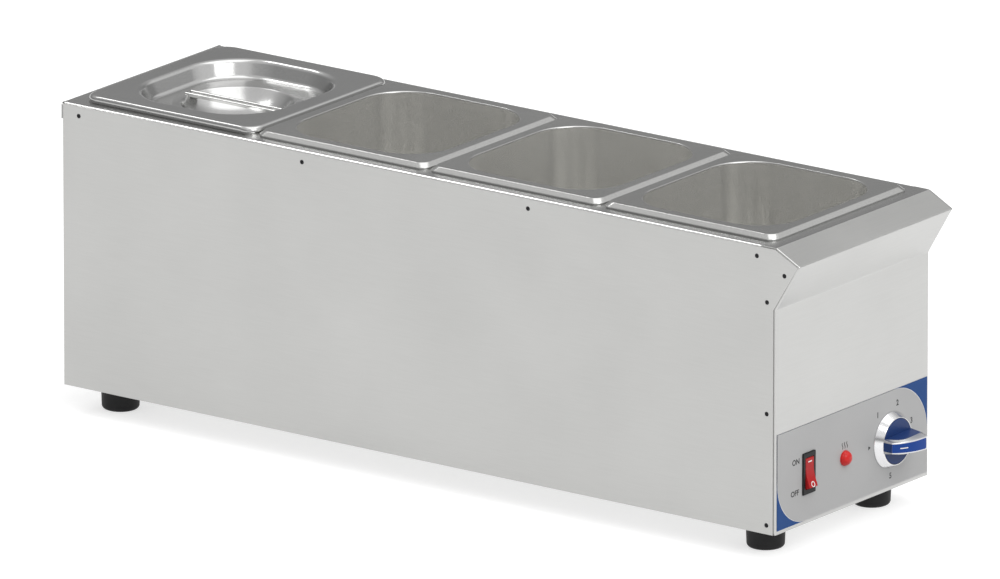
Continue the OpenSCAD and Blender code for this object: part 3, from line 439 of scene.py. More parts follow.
hiddenSteel = metalFinish("hiddenSteel", (0.55, 0.55, 0.54), shade=0.9, roughness=0.4, brush=brushedLightly)
zincSteel = metalFinish("zincSteel", (0.62, 0.63, 0.65), shade=0.85)
chromeFinish = metalFinish("chromeFinish", (0.75, 0.75, 0.76), shade=0.98, roughness=0.14, roughSpread=0.03,
                           bump=0.02)
silverLacquer = metalFinish("silverLacquer", (0.72, 0.72, 0.73), shade=0.95, roughness=0.25, roughSpread=0.04,
                            bump=0.03)
brassFinish = metalFinish("brassFinish", (0.72, 0.55, 0.26), shade=0.85)
copperFinish = metalFinish("copperFinish", (0.75, 0.42, 0.27), shade=0.8, roughness=0.32)
sheathFinish = metalFinish("sheathFinish", (0.2, 0.19, 0.19), shade=0.7, roughness=0.45)
blackOxide = metalFinish("blackOxide", (0.035, 0.035, 0.037), shade=0.7, roughness=0.38)
blueKnob = plasticFinish("blueKnob", (37, 62, 115), roughness=0.34, specular=0.2)
blueInlay = plasticFinish("blueInlay", (20, 68, 152), roughness=0.3, specular=0.25)
blackPlastic = plasticFinish("blackPlastic", (24, 24, 25), roughness=0.45, specular=0.3)
rubberFinish = plasticFinish("rubberFinish", (30, 30, 31), roughness=0.6, specular=0.3, bump=0.12)
glandPlastic = plasticFinish("glandPlastic", (38, 38, 40), roughness=0.45)
ceramicFinish = plasticFinish("ceramicFinish", (226, 220, 205), shade=0.93, roughness=0.5)
boardFinish = plasticFinish("boardFinish", (205, 194, 158), roughness=0.85, bump=0.3)
bakeliteFinish = plasticFinish("bakeliteFinish", (150, 140, 122), roughness=0.5)
wireCover = plasticFinish("wireCover", (150, 48, 36), roughness=0.5)
rockerRed = plasticFinish("rockerRed", (188, 30, 33), roughness=0.34, specular=0.25)
lampRed = plasticFinish("lampRed", (214, 40, 38), shade=0.78, roughness=0.32, specular=0.3, patch=160.0)
labelGrey = plasticFinish("labelGrey", (182, 182, 182), shade=0.98, roughness=0.42, specular=0.25)
labelBlue = plasticFinish("labelBlue", (22, 70, 132), shade=0.96, roughness=0.4, specular=0.2)
labelWhite = plasticFinish("labelWhite", (232, 232, 230), shade=0.98, roughness=0.42)
printInk = plasticFinish("printInk", (22, 22, 23), shade=0.9, roughness=0.45)
whiteInk = plasticFinish("whiteInk", (244, 240, 238), shade=0.98, roughness=0.4)
print("finishes made")


# Camera, floor and light, in metres

studio = {
    "viewBack": (-0.77168, -0.56996, 0.28223), "target": (-0.04526, -0.03625, 0.15037), "distance": 19.0,
    "frameWidth": 0.76513, "sensor": 36.0, "clip": (0.5, 100.0), "floorRadius": 30.0, "floorGlow": 0.637,
    "skyLevels": ((0.0, 1.0), (0.004, 0.9), (0.05, 0.9), (0.1, 0.3), (0.34, 0.35), (0.48, 0.52), (0.62, 0.62),
                  (0.77, 0.87), (0.95, 0.87)),
    "frontLevels": ((0.22, 0.0), (0.32, 1.0), (0.42, 0.8), (0.55, 0.43), (0.75, 0.25), (0.88, 0.0)),
    "frontFade": (-0.25, -0.05), "frontGain": 1.4,
    "lamps": (
        ("softFront", (-1.6, -4.2, 3.6), (0, 0, 0.15), 3.0, 90),
        ("softTop", (0.6, -0.6, 5.0), (0, 0, 0.2), 3.8, 60),
        ("softBack", (0.1, 2.9, 4.0), (0, 0, 0.2), 1.2, 25),
    ),
}


def makeCamera(plan):
    # a far camera with a long lens, because the real view shows next to no perspective
    back = Vector(plan["viewBack"]).normalized()
    lens = bpy.data.cameras.new("photoLens")
    lens.sensor_width = plan["sensor"]
    lens.lens = plan["sensor"] * plan["distance"] / plan["frameWidth"]
    lens.clip_start, lens.clip_end = plan["clip"]
    camera = bpy.data.objects.new("photoCamera", lens)
    bpy.context.scene.collection.objects.link(camera)
    camera.location = Vector(plan["target"]) + back * plan["distance"]
    camera.rotation_euler = back.to_track_quat("Z", "Y").to_euler()
    bpy.context.scene.camera = camera


def makeFloor(plan):
    clearAll()
    bpy.ops.mesh.primitive_circle_add(vertices=96, radius=plan["floorRadius"], fill_type="NGON",
                                      location=(0, 0, 0))
    floor = bpy.context.object
    floor.name = "studioFloor"
    finish, tree, shader = blankFinish("floorFinish")
    shader.inputs["Roughness"].default_value = 0.9
    shader.inputs["Specular IOR Level"].default_value = 0.0
    shader.inputs["Base Color"].default_value = (0.5, 0.5, 0.5, 1)
    shader.inputs["Emission Color"].default_value = (1, 1, 1, 1)
    # the glow is only seen, directly or in metal and glass, and lights nothing
    path = tree.nodes.new("ShaderNodeLightPath")
    seen = mathNode(tree, "MAXIMUM", path.outputs["Is Camera Ray"], path.outputs["Is Glossy Ray"])
    seen = mathNode(tree, "MAXIMUM", seen, path.outputs["Is Transmission Ray"])
    tree.links.new(mathNode(tree, "MULTIPLY", seen, plan["floorGlow"]), shader.inputs["Emission Strength"])
    floor.data.materials.append(finish)


def heightRamp(tree, height, levels):
    ramp = tree.nodes.new("ShaderNodeValToRGB")
    while len(ramp.color_ramp.elements) < len(levels):
        ramp.color_ramp.elements.new(0.5)
    for stop, (position, value) in zip(ramp.color_ramp.elements, levels):
        stop.position = position
        stop.color = (value, value, value, 1)
    tree.links.new(height, ramp.inputs[0])
    return ramp.outputs[0]


def makeSky(plan):
    world = bpy.data.worlds.new("studioSky")
    bpy.context.scene.world = world
    world.use_nodes = True
    tree = world.node_tree
    tree.nodes.clear()
    out = tree.nodes.new("ShaderNodeOutputWorld")
    shade = tree.nodes.new("ShaderNodeBackground")
    tree.links.new(shade.outputs[0], out.inputs[0])
    place = tree.nodes.new("ShaderNodeTexCoord")
    parts = tree.nodes.new("ShaderNodeSeparateXYZ")
    tree.links.new(place.outputs["Generated"], parts.inputs[0])
    tree.links.new(heightRamp(tree, parts.outputs["Z"], plan["skyLevels"]), shade.inputs["Color"])
    # the sky is brighter in front of the unit, so that walls and edges turned that way stand out
    forward = spread(tree, parts.outputs["Y"], 1, 0, *plan["frontFade"])
    upper = heightRamp(tree, parts.outputs["Z"], plan["frontLevels"])
    both = mathNode(tree, "MULTIPLY", forward, upper)
    tree.links.new(mathNode(tree, "MULTIPLY_ADD", both, plan["frontGain"], 1.0), shade.inputs["Strength"])


def makeLamp(name, place, aim, size, power):
    data = bpy.data.lights.new(name, "AREA")
    data.shape = "SQUARE"
    data.size = size
    data.energy = power
    lamp = bpy.data.objects.new(name, data)
    bpy.context.scene.collection.objects.link(lamp)
    lamp.location = place
    lamp.rotation_euler = (Vector(place) - Vector(aim)).to_track_quat("Z", "Y").to_euler()


makeCamera(studio)
makeFloor(studio)
makeSky(studio)
for lampPlan in studio["lamps"]:
    makeLamp(*lampPlan)
bpy.context.scene.view_settings.view_transform = "Standard"
print("camera, floor and light ready")


# Deck: one sheet with turned-down edges, a lip at the back and an opening for each pan

deck = {
    "halfWidth": 99.7, "length": 679.0, "sheet": 1.2, "edgeDrop": 16.0, "edgeStart": 1.5, "edgeEnd": 676.2,
    "foldRadius": 2.0, "lipHalfWidth": 101.0, "lipStart": 677.8, "lipStep": 0.1, "lipDrop": 13.0,
    "lipRound": 1.4, "openingWidth": 156.0, "openingLength": 142.0, "openingRadius": 40.0, "cornerSteps": 12,
    "paintedHighlightDepth": 1.8,
}


def makeDeck(plan):
    half, length, top = plan["halfWidth"], plan["length"], deckHeight
    cells = []
    for k in range(4):
        name = "deckCell%d" % k
        low = 0 if k == 0 else firstPan + (k - 0.5) * panPitch
        high = length if k == 3 else firstPan + (k + 0.5) * panPitch
        edge = outline(name, at(0, (low + high) / 2, top), 2 * half, high - low)
        opening = outline("deckOpening%d" % k, at(0, firstPan + k * panPitch, top), plan["openingWidth"],
                          plan["openingLength"], plan["openingRadius"], plan["cornerSteps"])
        cells.append(bridged(name, edge, opening))
        closeEdit()
    piece = merged("deckSheet", cells)
    openEdit(piece)
    weld()
    turnOut()
    for y in (plan["edgeStart"], plan["edgeEnd"], plan["lipStart"] - plan["lipStep"], plan["lipStart"]):
        addCut(at(0, y, 0), (0, 1, 0))
    pick(piece, "VERT", lambda x, y, z, v: y > plan["lipStart"] - 0.05)
    stretch(plan["lipHalfWidth"] / half, 1, 1, at(0, length, top))

    def sideEdge(x, y):
        return near(abs(x), half) and plan["edgeStart"] < y < plan["edgeEnd"]

    pick(piece, "EDGE", lambda x, y, z, e: sideEdge(x, y))
    pull(z=-plan["edgeDrop"])
    pick(piece, "EDGE", lambda x, y, z, e: near(y, length))
    pull(z=-plan["lipDrop"])
    roundEdges(piece, plan["foldRadius"], 5, lambda x, y, z, e: near(z, top) and sideEdge(x, y))
    roundEdges(piece, plan["lipRound"], 4, lambda x, y, z, e: near(z, top) and near(y, length))
    faceUp(piece, lambda x, y, z, f: near(z, top))
    closeEdit()
    thicken(piece, plan["sheet"])
    # the left fold gets a near-white finish, a painted highlight along its edge
    twoFinishes(piece, deckSteel, foldPaintedHighlight, lambda x, y, z, f: x < 0.1 - half + plan["foldRadius"]
                and f.normal.x < -0.1 and top - plan["paintedHighlightDepth"] < z < top)
    smooth(piece, 30)
    dress(piece, "casing", deckSteel, "casing_steel", "top_deck")


makeDeck(deck)
print("deck made")


# Front: chamfer, nose and face folded from one sheet, with turned-in edges

front = {
    "halfWidth": 99.7, "sheet": 1.2, "edge": 14.0, "noseOut": 22.0, "noseHeight": 215.3, "noseFoot": 177.7,
    "foldRadius": 1.3, "knobHole": 4.5, "lampHole": 5.2, "switchHole": (6.7, 14.3), "screwHole": 2.0,
    "screwReach": 14.0, "cutDepth": 20.0,
}


def controlCutters(depth, knobRadius, knobSides):
    # for the openings behind knob, lamp and switch, in the front sheet and in the label
    halfWidth, halfHeight = front["switchHole"]
    return [
        startCylinder("knobCut", at(knobX, 0, controlHeight), knobRadius, depth, knobSides, facingFront),
        startCylinder("lampCut", at(lampX, 0, controlHeight), front["lampHole"], depth, 32, facingFront),
        startBox("switchCut", at(switchX - halfWidth, -depth / 2, controlHeight - halfHeight),
                 at(switchX + halfWidth, depth / 2, controlHeight + halfHeight)),
    ]


def makeFront(plan):
    half, edge, noseFoot, noseHeight = plan["halfWidth"], plan["edge"], plan["noseFoot"], plan["noseHeight"]
    piece = startBox("frontSheet", at(-half, 0, 0), at(half, edge, noseFoot))
    openEdit(piece)
    pick(piece, "FACE", lambda x, y, z, f: near(z, noseFoot))
    pull(z=noseHeight - noseFoot)
    pick(piece, "VERT", lambda x, y, z, v: near(z, noseHeight) and near(y, 0))
    shift(y=-plan["noseOut"])
    pick(piece, "FACE", lambda x, y, z, f: near(z, noseHeight))
    pull(z=deckHeight - noseHeight)
    pick(piece, "VERT", lambda x, y, z, v: near(z, deckHeight) and y < -1)
    shift(y=plan["noseOut"])
    pick(piece, "FACE", lambda x, y, z, f: near(z, deckHeight) or near(z, 0) or near(y, edge))
    bpy.ops.mesh.delete(type="FACE")
    roundEdges(piece, plan["foldRadius"], 4,
               lambda x, y, z, e: (near(z, noseFoot) or near(z, noseHeight)) and near(x, 0)
               or near(abs(x), half) and y < 0.01 and not e.is_boundary)
    closeEdit()
    thicken(piece, plan["sheet"])
    tools = controlCutters(plan["cutDepth"], plan["knobHole"], 32)
    for side in (-1, 1):
        tools.append(startCylinder("screwCut", at(knobX, 0, controlHeight + side * plan["screwReach"]),
                                   plan["screwHole"], plan["cutDepth"], 24, facingFront))
    cutAway(piece, merged("controlHoles", tools))
    smooth(piece, 30)
    dress(piece, "casing", faceSteel, "casing_steel", "front_panel")


makeFront(front)
print("front made")


# Side panels: plates with countersunk holes

side = {
    "outer": 101.0, "sheet": 1.2, "rear": 677.5, "top": 226.2, "front": 1.8, "footZ": 178.0, "tipY": -20.9,
    "tipZ": 215.0, "topY": 0.2, "edgeRound": 0.25, "screwHole": 3.7, "screwSink": 0.75, "threadHole": 2.5,
    "threadDepth": 6.0, "topScrews": (17.0, 232.0, 447.0, 662.0), "topScrewZ": 218.5,
    "noseScrew": (-8.7, 206.9), "frontScrewY": 7.4, "frontScrewZ": (7.2, 95.3, 183.4),
}


def makeSide(plan, hand, name, node):
    outer, top, rear, start = hand * plan["outer"], plan["top"], plan["rear"], plan["front"]
    piece = startPlane(name, at(outer, (start + rear) / 2, top / 2), rear - start, top,
                       (math.pi / 2, 0, hand * math.pi / 2))
    openEdit(piece)
    for z in (plan["footZ"], plan["tipZ"]):
        addCut(at(0, 0, z), (0, 0, 1))
    for y, height in ((plan["tipY"], plan["tipZ"]), (plan["topY"], top)):
        pick(piece, "VERT", lambda xx, yy, z, v: near(yy, start) and near(z, height))
        shift(y=y - start)
    closeEdit()
    thicken(piece, plan["sheet"])
    openEdit(piece)
    roundEdges(piece, plan["edgeRound"], 2,
               lambda x, y, z, e: near(abs(x), plan["outer"]) and not near(e.calc_face_angle(0), 0, 0.1))
    closeEdit()
    screws = [(y, plan["topScrewZ"]) for y in plan["topScrews"]] + [plan["noseScrew"]]
    screws += [(plan["frontScrewY"], z) for z in plan["frontScrewZ"]]
    tools = []
    for y, z in screws:
        for width, depth, sides in ((plan["screwHole"], 2 * plan["screwSink"], 24),
                                    (plan["threadHole"], plan["threadDepth"], 16)):
            tools.append(startCylinder("screwCut", at(outer, y, z), width / 2, depth, sides, facingSide))
    cutAway(piece, *tools)
    smooth(piece, 30)
    dress(piece, "casing", casingSteel, "casing_steel", node)


makeSide(side, -1, "sideSheetLeft", "side_panel_left")
makeSide(side, 1, "sideSheetRight", "side_panel_right")
print("sides made")


# Pans: drawn from one sheet, smooth at every corner

pan = {
    "width": 176.0, "length": 162.0, "depth": 150.0, "sheet": 0.8, "rimHeight": 4.4, "rimBevel": 3.2,
    "rimRound": 0.35, "cornerRadius": 11.0, "flange": 12.0, "mouthRadius": 38.0, "mouthMargin": 8.0,
    "lipRadius": 1.1, "taper": 5.0, "floorRadius": 14.0, "cornerSteps": 14,
}


def makePan(plan):
    width, length, bevel, steps = plan["width"], plan["length"], plan["rimBevel"], plan["cornerSteps"]
    top = deckHeight + plan["rimHeight"]
    floorZ = top - plan["depth"] + plan["sheet"]
    middle = at(0, firstPan, top)
    mouthW, mouthL = width - 2 * plan["flange"], length - 2 * plan["flange"]
    flatW, flatL = width - 2 * bevel, length - 2 * bevel
    piece = bridged("panFront", outline("panOuter", middle, flatW, flatL, plan["cornerRadius"] - bevel, steps),
                    outline("panMouth", middle, mouthW, mouthL, plan["mouthRadius"], steps))
    inMouth = zone(mouthW + plan["mouthMargin"], mouthL + plan["mouthMargin"], firstPan)
    pick(piece, "EDGE", lambda x, y, z, e: e.is_boundary and not inMouth(x, y))
    pull(z=-bevel)
    stretch(width / flatW, length / flatL, 1, middle)
    pull(z=bevel - plan["rimHeight"])
    pick(piece, "EDGE", lambda x, y, z, e: e.is_boundary and near(z, top))
    pull(z=floorZ - top)
    stretch(1 - 2 * plan["taper"] / mouthW, 1 - 2 * plan["taper"] / mouthL, 1, at(0, firstPan, floorZ))
    bpy.ops.mesh.edge_face_add()
    roundEdges(piece, plan["floorRadius"], 7, lambda x, y, z, e: near(z, floorZ))
    roundEdges(piece, plan["lipRadius"], 6,
               lambda x, y, z, e: near(z, top) and inMouth(x, y) and all(inMouth(*end) for end in ends(e)))
    roundEdges(piece, plan["rimRound"], 2,
               lambda x, y, z, e: (near(z, top) or near(z, top - bevel))
               and not any(inMouth(*end) for end in ends(e)))
    faceUp(piece, lambda x, y, z, f: near(z, floorZ))
    closeEdit()
    thicken(piece, plan["sheet"])
    smooth(piece, 30)
    # the inside of the pan gets the lighter copy of its steel, painted light standing in for the light inside
    # the pan
    twoFinishes(piece, panSteel, panInsidePaintedLight,
                lambda x, y, z, f: z < top - plan["lipRadius"] and inMouth(x, y) and f.normal.z > 0)
    return piece


firstShell = makePan(pan)
otherPans = (("panSecond", "second_pan"), ("panThird", "third_pan"), ("panRear", "rear_pan"))
for k, (shellName, bodyName) in enumerate(otherPans, 1):
    shell = copied(firstShell, shellName, y=k * panPitch)
    dress(shell, bodyName, panSteel, "pan_steel", "pan_%d" % (k + 1))
dress(firstShell, "front_pan", panSteel, "pan_steel", "pan_1")
print("pans made")


# Lid: pressed from one sheet, with a recess, a raised ring and a finger dish

lid = {
    "width": 178.0, "length": 164.0, "cornerRadius": 12.0, "top": 5.4, "edgeLow": 0.8, "rimRadius": 3.5,
    "sheet": 0.9, "recessWidth": 142.0, "recessLength": 128.0, "recessRadius": 48.0, "recessDepth": 13.4,
    "recessMargin": 10.0, "wallLean": 6.0, "bend": 3.0, "ringStart": 52.0, "ringRadius": 51.0, "ringRise": 0.5,
    "ringRound": 0.35, "bridgeDrop": 30.0, "dishRadius": 43.0, "dishStep": 1.2, "dishDepth": 16.0,
    "dishFlat": 14.0, "dishRows": 9, "cornerSteps": 14,
}
lidMiddle = firstPan + 3 * panPitch
lidFloor = deckHeight + lid["top"] - lid["recessDepth"]


def ringAndDish(plan, ringZ, rimZ):
    # radius and height of each row, from the ring inwards to the flat of the dish
    outer, flat = plan["dishRadius"], plan["dishFlat"]
    rows = [(plan["ringRadius"], ringZ), (outer + plan["dishStep"], ringZ), (outer, rimZ)]
    for n in range(1, plan["dishRows"] + 1):
        r = outer + (flat - outer) * n / plan["dishRows"]
        rise = ((r - flat) / (outer - flat)) ** 2
        rows.append((r, rimZ - plan["dishDepth"] * (1 - rise)))
    return rows


def makeLid(plan):
    top = deckHeight + plan["top"]
    ringZ = lidFloor + plan["ringRise"]
    rimZ = ringZ - plan["dishStep"]
    middle = at(0, lidMiddle, top)
    width, length, steps = plan["recessWidth"], plan["recessLength"], plan["cornerSteps"]
    outer = outline("lidOuter", middle, plan["width"], plan["length"], plan["cornerRadius"], steps)
    recess = outline("lidRecess", middle, width, length, plan["recessRadius"], steps)
    piece = bridged("lidShell", outer, recess)
    inRecess = zone(width + plan["recessMargin"], length + plan["recessMargin"], lidMiddle)
    pick(piece, "EDGE", lambda x, y, z, e: e.is_boundary and not inRecess(x, y))
    pull(z=plan["edgeLow"] - plan["top"])
    pick(piece, "EDGE", lambda x, y, z, e: e.is_boundary and near(z, top))
    pull(z=-plan["recessDepth"])
    stretch(1 - 2 * plan["wallLean"] / width, 1 - 2 * plan["wallLean"] / length, 1, middle)
    closeEdit()
    # the ring is bridged from lower down, so that it isn't twisted
    ring = startCircle("lidRing", at(0, lidMiddle, lidFloor - plan["bridgeDrop"]), plan["ringStart"],
                       4 * (steps + 1))
    piece = merged("lidShell", [piece, ring])
    openEdit(piece)
    pick(piece, "EDGE", lambda x, y, z, e: z < lidFloor + 0.1 and inRecess(x, y)
         and (e.is_boundary or e.is_wire))
    bpy.ops.mesh.bridge_edge_loops()
    pick(piece, "VERT", lambda x, y, z, v: z < lidFloor - 1)
    shift(z=plan["bridgeDrop"])
    radius, height = plan["ringStart"], lidFloor
    ringZone = radius + 2
    for r, z in ringAndDish(plan, ringZ, rimZ):
        pick(piece, "EDGE", lambda x, y, zz, e: e.is_boundary and near(zz, height, 0.02)
             and math.hypot(x, y - lidMiddle) < ringZone)
        pull(z=z - height)
        stretch(r / radius, r / radius, 1, at(0, lidMiddle, z))
        radius, height = r, z
    bpy.ops.mesh.edge_face_add()
    faceUp(piece, lambda x, y, z, f: near(z, rimZ - plan["dishDepth"]))
    roundEdges(piece, plan["bend"], 5,
               lambda x, y, z, e: near(z, top) and all(inRecess(*end) for end in ends(e)))
    roundEdges(piece, plan["bend"], 5,
               lambda x, y, z, e: near(z, lidFloor) and min(reaches(e, 0, lidMiddle)) > ringZone)
    roundEdges(piece, plan["rimRadius"], 6,
               lambda x, y, z, e: near(z, top) and not any(inRecess(*end) for end in ends(e)))
    roundEdges(piece, plan["ringRound"], 2,
               lambda x, y, z, e: near(z, ringZ) and near(*reaches(e, 0, lidMiddle)))
    closeEdit()
    thicken(piece, plan["sheet"])
    smooth(piece, 30)
    dress(piece, "pan_lid", lidSteel, "lid_steel", "lid")


makeLid(lid)

# Handle: a folded bar across the dish, two rolled edges with a channel between them

lidHandle = {
    "width": 10.0, "length": 95.0, "height": 2.8, "sink": 1.6, "ridge": 2.7, "channel": 1.3, "round": 1.1,
    "endRound": 0.45,
}


def makeLidHandle(plan):
    low = lidFloor + lid["ringRise"] - plan["sink"]
    high = low + plan["height"]
    half, reach = plan["width"] / 2, plan["length"] / 2
    piece = startBox("lidBar", at(-half, lidMiddle - reach, low), at(half, lidMiddle + reach, high))
    openEdit(piece)
    for x in (-half + plan["ridge"], half - plan["ridge"]):
        addCut(at(x, 0, 0), (1, 0, 0))
    pick(piece, "FACE", lambda x, y, z, f: near(x, 0) and near(z, high))
    pull(z=-plan["channel"])
    roundEdges(piece, plan["round"], 4, lambda x, y, z, e: near(z, high) and near(y, lidMiddle))
    roundEdges(piece, plan["endRound"], 2,
               lambda x, y, z, e: near(abs(y - lidMiddle), reach) and not near(z, low))
    finished(piece, 40, "pan_lid", handleSteel, "handle_steel", "lid_handle")


makeLidHandle(lidHandle)
print("lid made")


# Knob: a chrome ring on the panel, a disc that turns in it, and an arched grip with a silver cap and a blue
# inlay. Along the grip, places are measured from the knob's middle, and heights from the disc's face

knob = {
    "ringLow": 22.5, "ringTop": 18.7, "ringInner": 18.1, "ringFoot": 0.8, "ringHeight": 6.8, "footRound": 0.5,
    "topRound": 0.22, "sides": 96, "discRadius": 17.7, "discFace": 7.1, "discThick": 3.0, "discRound": 0.5,
    "hubRadius": 6.0, "hubLow": 0.6,
    "tail": -19.2, "peak": 10.0, "archReach": 32.0, "height": 19.6, "steps": 14,
    "back": ((11.3, 19.1), (12.3, 17.6)), "capBack": (13.4, 13.4), "discBack": (17.3, 0.4),
    "coreHeight": 12.6, "coreStart": -16.6, "coreBend": 9.0, "coreSink": 0.3, "coreInset": 0.3,
    "tipHeight": 8.0, "tipStart": 0.08, "tailWidth": 8.6, "peakWidth": 10.4, "flare": 1.3, "edgeRound": 0.4,
    "cornerRound": 1.3, "border": 0.85, "inlayThick": 0.5, "inlayLift": 0.1, "inlayEnd": 0.7,
    "dashLow": -14.8, "dashHigh": -9.0, "dashWidth": 0.8, "dashLift": 0.18, "dashThick": 0.12, "dashRows": 5,
}


def makeKnobRing(plan):
    middle = at(knobX, proud(0), controlHeight)
    piece = startCircle("knobRing", middle, plan["ringLow"], plan["sides"], facingFront)
    openEdit(piece)
    pickAll()
    pull(y=-plan["ringFoot"])
    pull(y=plan["ringFoot"] - plan["ringHeight"])
    widen(plan["ringTop"] / plan["ringLow"], middle)
    pull()
    widen(plan["ringInner"] / plan["ringTop"], middle)
    pull(y=plan["ringHeight"])
    pick(piece, "EDGE", lambda x, y, z, e: e.is_boundary)
    bpy.ops.mesh.bridge_edge_loops()
    for height, radius in ((plan["ringFoot"], plan["footRound"]), (plan["ringHeight"], plan["topRound"])):
        roundEdges(piece, radius, 3,
                   lambda x, y, z, e: near(*reaches(e, knobX, controlHeight, 2)) and near(y, proud(height)))
    turnOut()
    finished(piece, 50, "casing", chromeFinish, "knob_chrome", "knob_ring")


def makeKnobDisc(plan):
    middle = at(knobX, proud(plan["hubLow"]), controlHeight)
    face = proud(plan["discFace"])
    piece = startCircle("knobDisc", middle, plan["hubRadius"], plan["sides"], facingFront, "NGON")
    openEdit(piece)
    pickAll()
    pull(y=plan["hubLow"] + plan["discThick"] - plan["discFace"])
    pull()
    widen(plan["discRadius"] / plan["hubRadius"], middle)
    pull(y=-plan["discThick"])
    roundEdges(piece, plan["discRound"], 3, lambda x, y, z, e: near(y, face))
    turnOut()
    closeEdit()

    def coreHalf(u):
        return gripHalf(plan, u) + plan["flare"] - plan["coreInset"]

    rows = finRows(plan, plan["coreStart"]) + [plan["capBack"][0], plan["discBack"][0]]
    core = makeFin(plan, "knobCore", rows, lambda u: -plan["coreSink"],
                   lambda u: coreHeight(plan, u) + plan["coreSink"], coreHalf, coreHalf)
    tipHalf = gripHalf(plan, plan["tail"]) - plan["border"]
    tip = startBox("knobTip", at(knobX + plan["tail"] - plan["tipStart"], face - plan["tipHeight"],
                                 controlHeight - tipHalf),
                   at(knobX + plan["coreStart"], face, controlHeight + tipHalf))
    piece = merged("knobDisc", [piece, core, tip])
    smooth(piece, 40)
    dress(piece, "knob", blueKnob, "knob_blue", "knob_disc")


def gripHeight(plan, u):
    # an arch from the pointer up to the highest line, then down to the back
    if u <= plan["peak"]:
        return plan["height"] * math.sqrt(1 - ((plan["peak"] - u) / plan["archReach"]) ** 2)
    points = [(plan["peak"], plan["height"]), *plan["back"], plan["capBack"], plan["discBack"]]
    for (u1, h1), (u2, h2) in zip(points, points[1:]):
        if u <= u2 + 0.001:
            return h1 + (h2 - h1) * (u - u1) / (u2 - u1)
    return points[-1][1]


def coreHeight(plan, u):
    # the line where the silver cap ends and the blue of the disc begins
    if u > plan["peak"]:
        return min(plan["coreHeight"], gripHeight(plan, u) - plan["coreSink"])
    part = max(0.0, plan["peak"] - u) / (plan["peak"] - plan["coreStart"])
    return plan["coreHeight"] * (1 - min(1.0, part) ** plan["coreBend"]) + plan["coreSink"]


def gripHalf(plan, u):
    part = min(1.0, (u - plan["tail"]) / (plan["peak"] - plan["tail"]))
    return (plan["tailWidth"] + (plan["peakWidth"] - plan["tailWidth"]) * part) / 2


def finRows(plan, start):
    # rows from the pointer to the highest line, closer together where the arch is steep
    reach = plan["peak"] - start
    return [plan["peak"] - reach * math.cos(math.pi / 2 * n / plan["steps"]) for n in range(plan["steps"] + 1)]


def makeFin(plan, name, rows, low, high, lowHalf, highHalf):
    # a bar along the knob, cut into rows, each row set to its own heights and widths
    face, tall = proud(plan["discFace"]), plan["height"]
    piece = startBox(name, at(knobX + rows[0], face - tall, controlHeight - 1),
                     at(knobX + rows[-1], face, controlHeight + 1))
    openEdit(piece)
    for u in rows[1:-1]:
        addCut(at(knobX + u, 0, 0), (1, 0, 0))
    for u in rows:
        middle = at(knobX + u, face, controlHeight)
        for level, half, move in ((face - tall, highHalf(u), tall - high(u)), (face, lowHalf(u), -low(u))):
            pick(piece, "VERT", lambda x, y, z, v: near(x, knobX + u, 0.02) and near(y, level, 0.02))
            stretch(1, 1, half, middle)
            shift(y=move)
    turnOut()
    closeEdit()
    return piece


def makeStrip(plan, name, rows, half, lift, corner):
    # a thin strip that follows the grip's face, and a wide one has round corners only at the peak
    face = proud(plan["discFace"])
    piece = startPlane(name, at(knobX + (rows[0] + rows[-1]) / 2, face, controlHeight), rows[-1] - rows[0], 2,
                       facingFront)
    openEdit(piece)
    for u in rows[1:-1]:
        addCut(at(knobX + u, 0, 0), (1, 0, 0))
    for u in rows:
        pick(piece, "VERT", lambda x, y, z, v: near(x, knobX + u, 0.02))
        stretch(1, 1, half(u), at(knobX + u, face, controlHeight))
        shift(y=-gripHeight(plan, u) - lift)
    pick(piece, "VERT", lambda x, y, z, v: len(v.link_edges) == 2 and (x > knobX or corner < 1))
    roundOff(corner, 3, "VERTICES")
    closeEdit()
    return piece


def makeGrip(plan):
    rows = finRows(plan, plan["tail"])
    piece = makeFin(plan, "knobGrip", rows + [row[0] for row in plan["back"]] + [plan["capBack"][0]],
                    lambda u: coreHeight(plan, u), lambda u: gripHeight(plan, u),
                    lambda u: gripHalf(plan, u) + plan["flare"], lambda u: gripHalf(plan, u))
    openEdit(piece)

    def ridge(x, y, z, e):
        # between the arched face and one of the two sides
        sideways = sorted(abs(f.normal.z) for f in e.link_faces)
        return (len(sideways) == 2 and sideways[0] < 0.35 and sideways[1] > 0.7
                and max(f.normal.y for f in e.link_faces) < 0.3)

    roundEdges(piece, plan["edgeRound"], 3, ridge)
    finished(piece, 45, "knob", silverLacquer, "knob_silver", "knob_grip")

    inlay = makeStrip(plan, "knobInlay", rows[:-1] + [plan["peak"] - plan["border"] * plan["inlayEnd"]],
                      lambda u: gripHalf(plan, u) - plan["border"], plan["inlayLift"], plan["cornerRound"])
    thicken(inlay, plan["inlayThick"])
    smooth(inlay, 45)
    dress(inlay, "knob", blueInlay, "inlay_blue", "knob_inlay")

    # a short white line printed along the inlay
    low, high, count = plan["dashLow"], plan["dashHigh"], plan["dashRows"]
    dash = makeStrip(plan, "knobDash", [low + (high - low) * n / count for n in range(count + 1)],
                     lambda u: plan["dashWidth"] / 2, plan["dashLift"], plan["dashWidth"] * 0.4)
    thicken(dash, plan["dashThick"])
    dress(dash, "knob", whiteInk, "label_film")


makeKnobRing(knob)
makeKnobDisc(knob)
makeGrip(knob)
print("knob made")


# Switch: a rim with a deep opening, and a rocker that stands out at its lower end

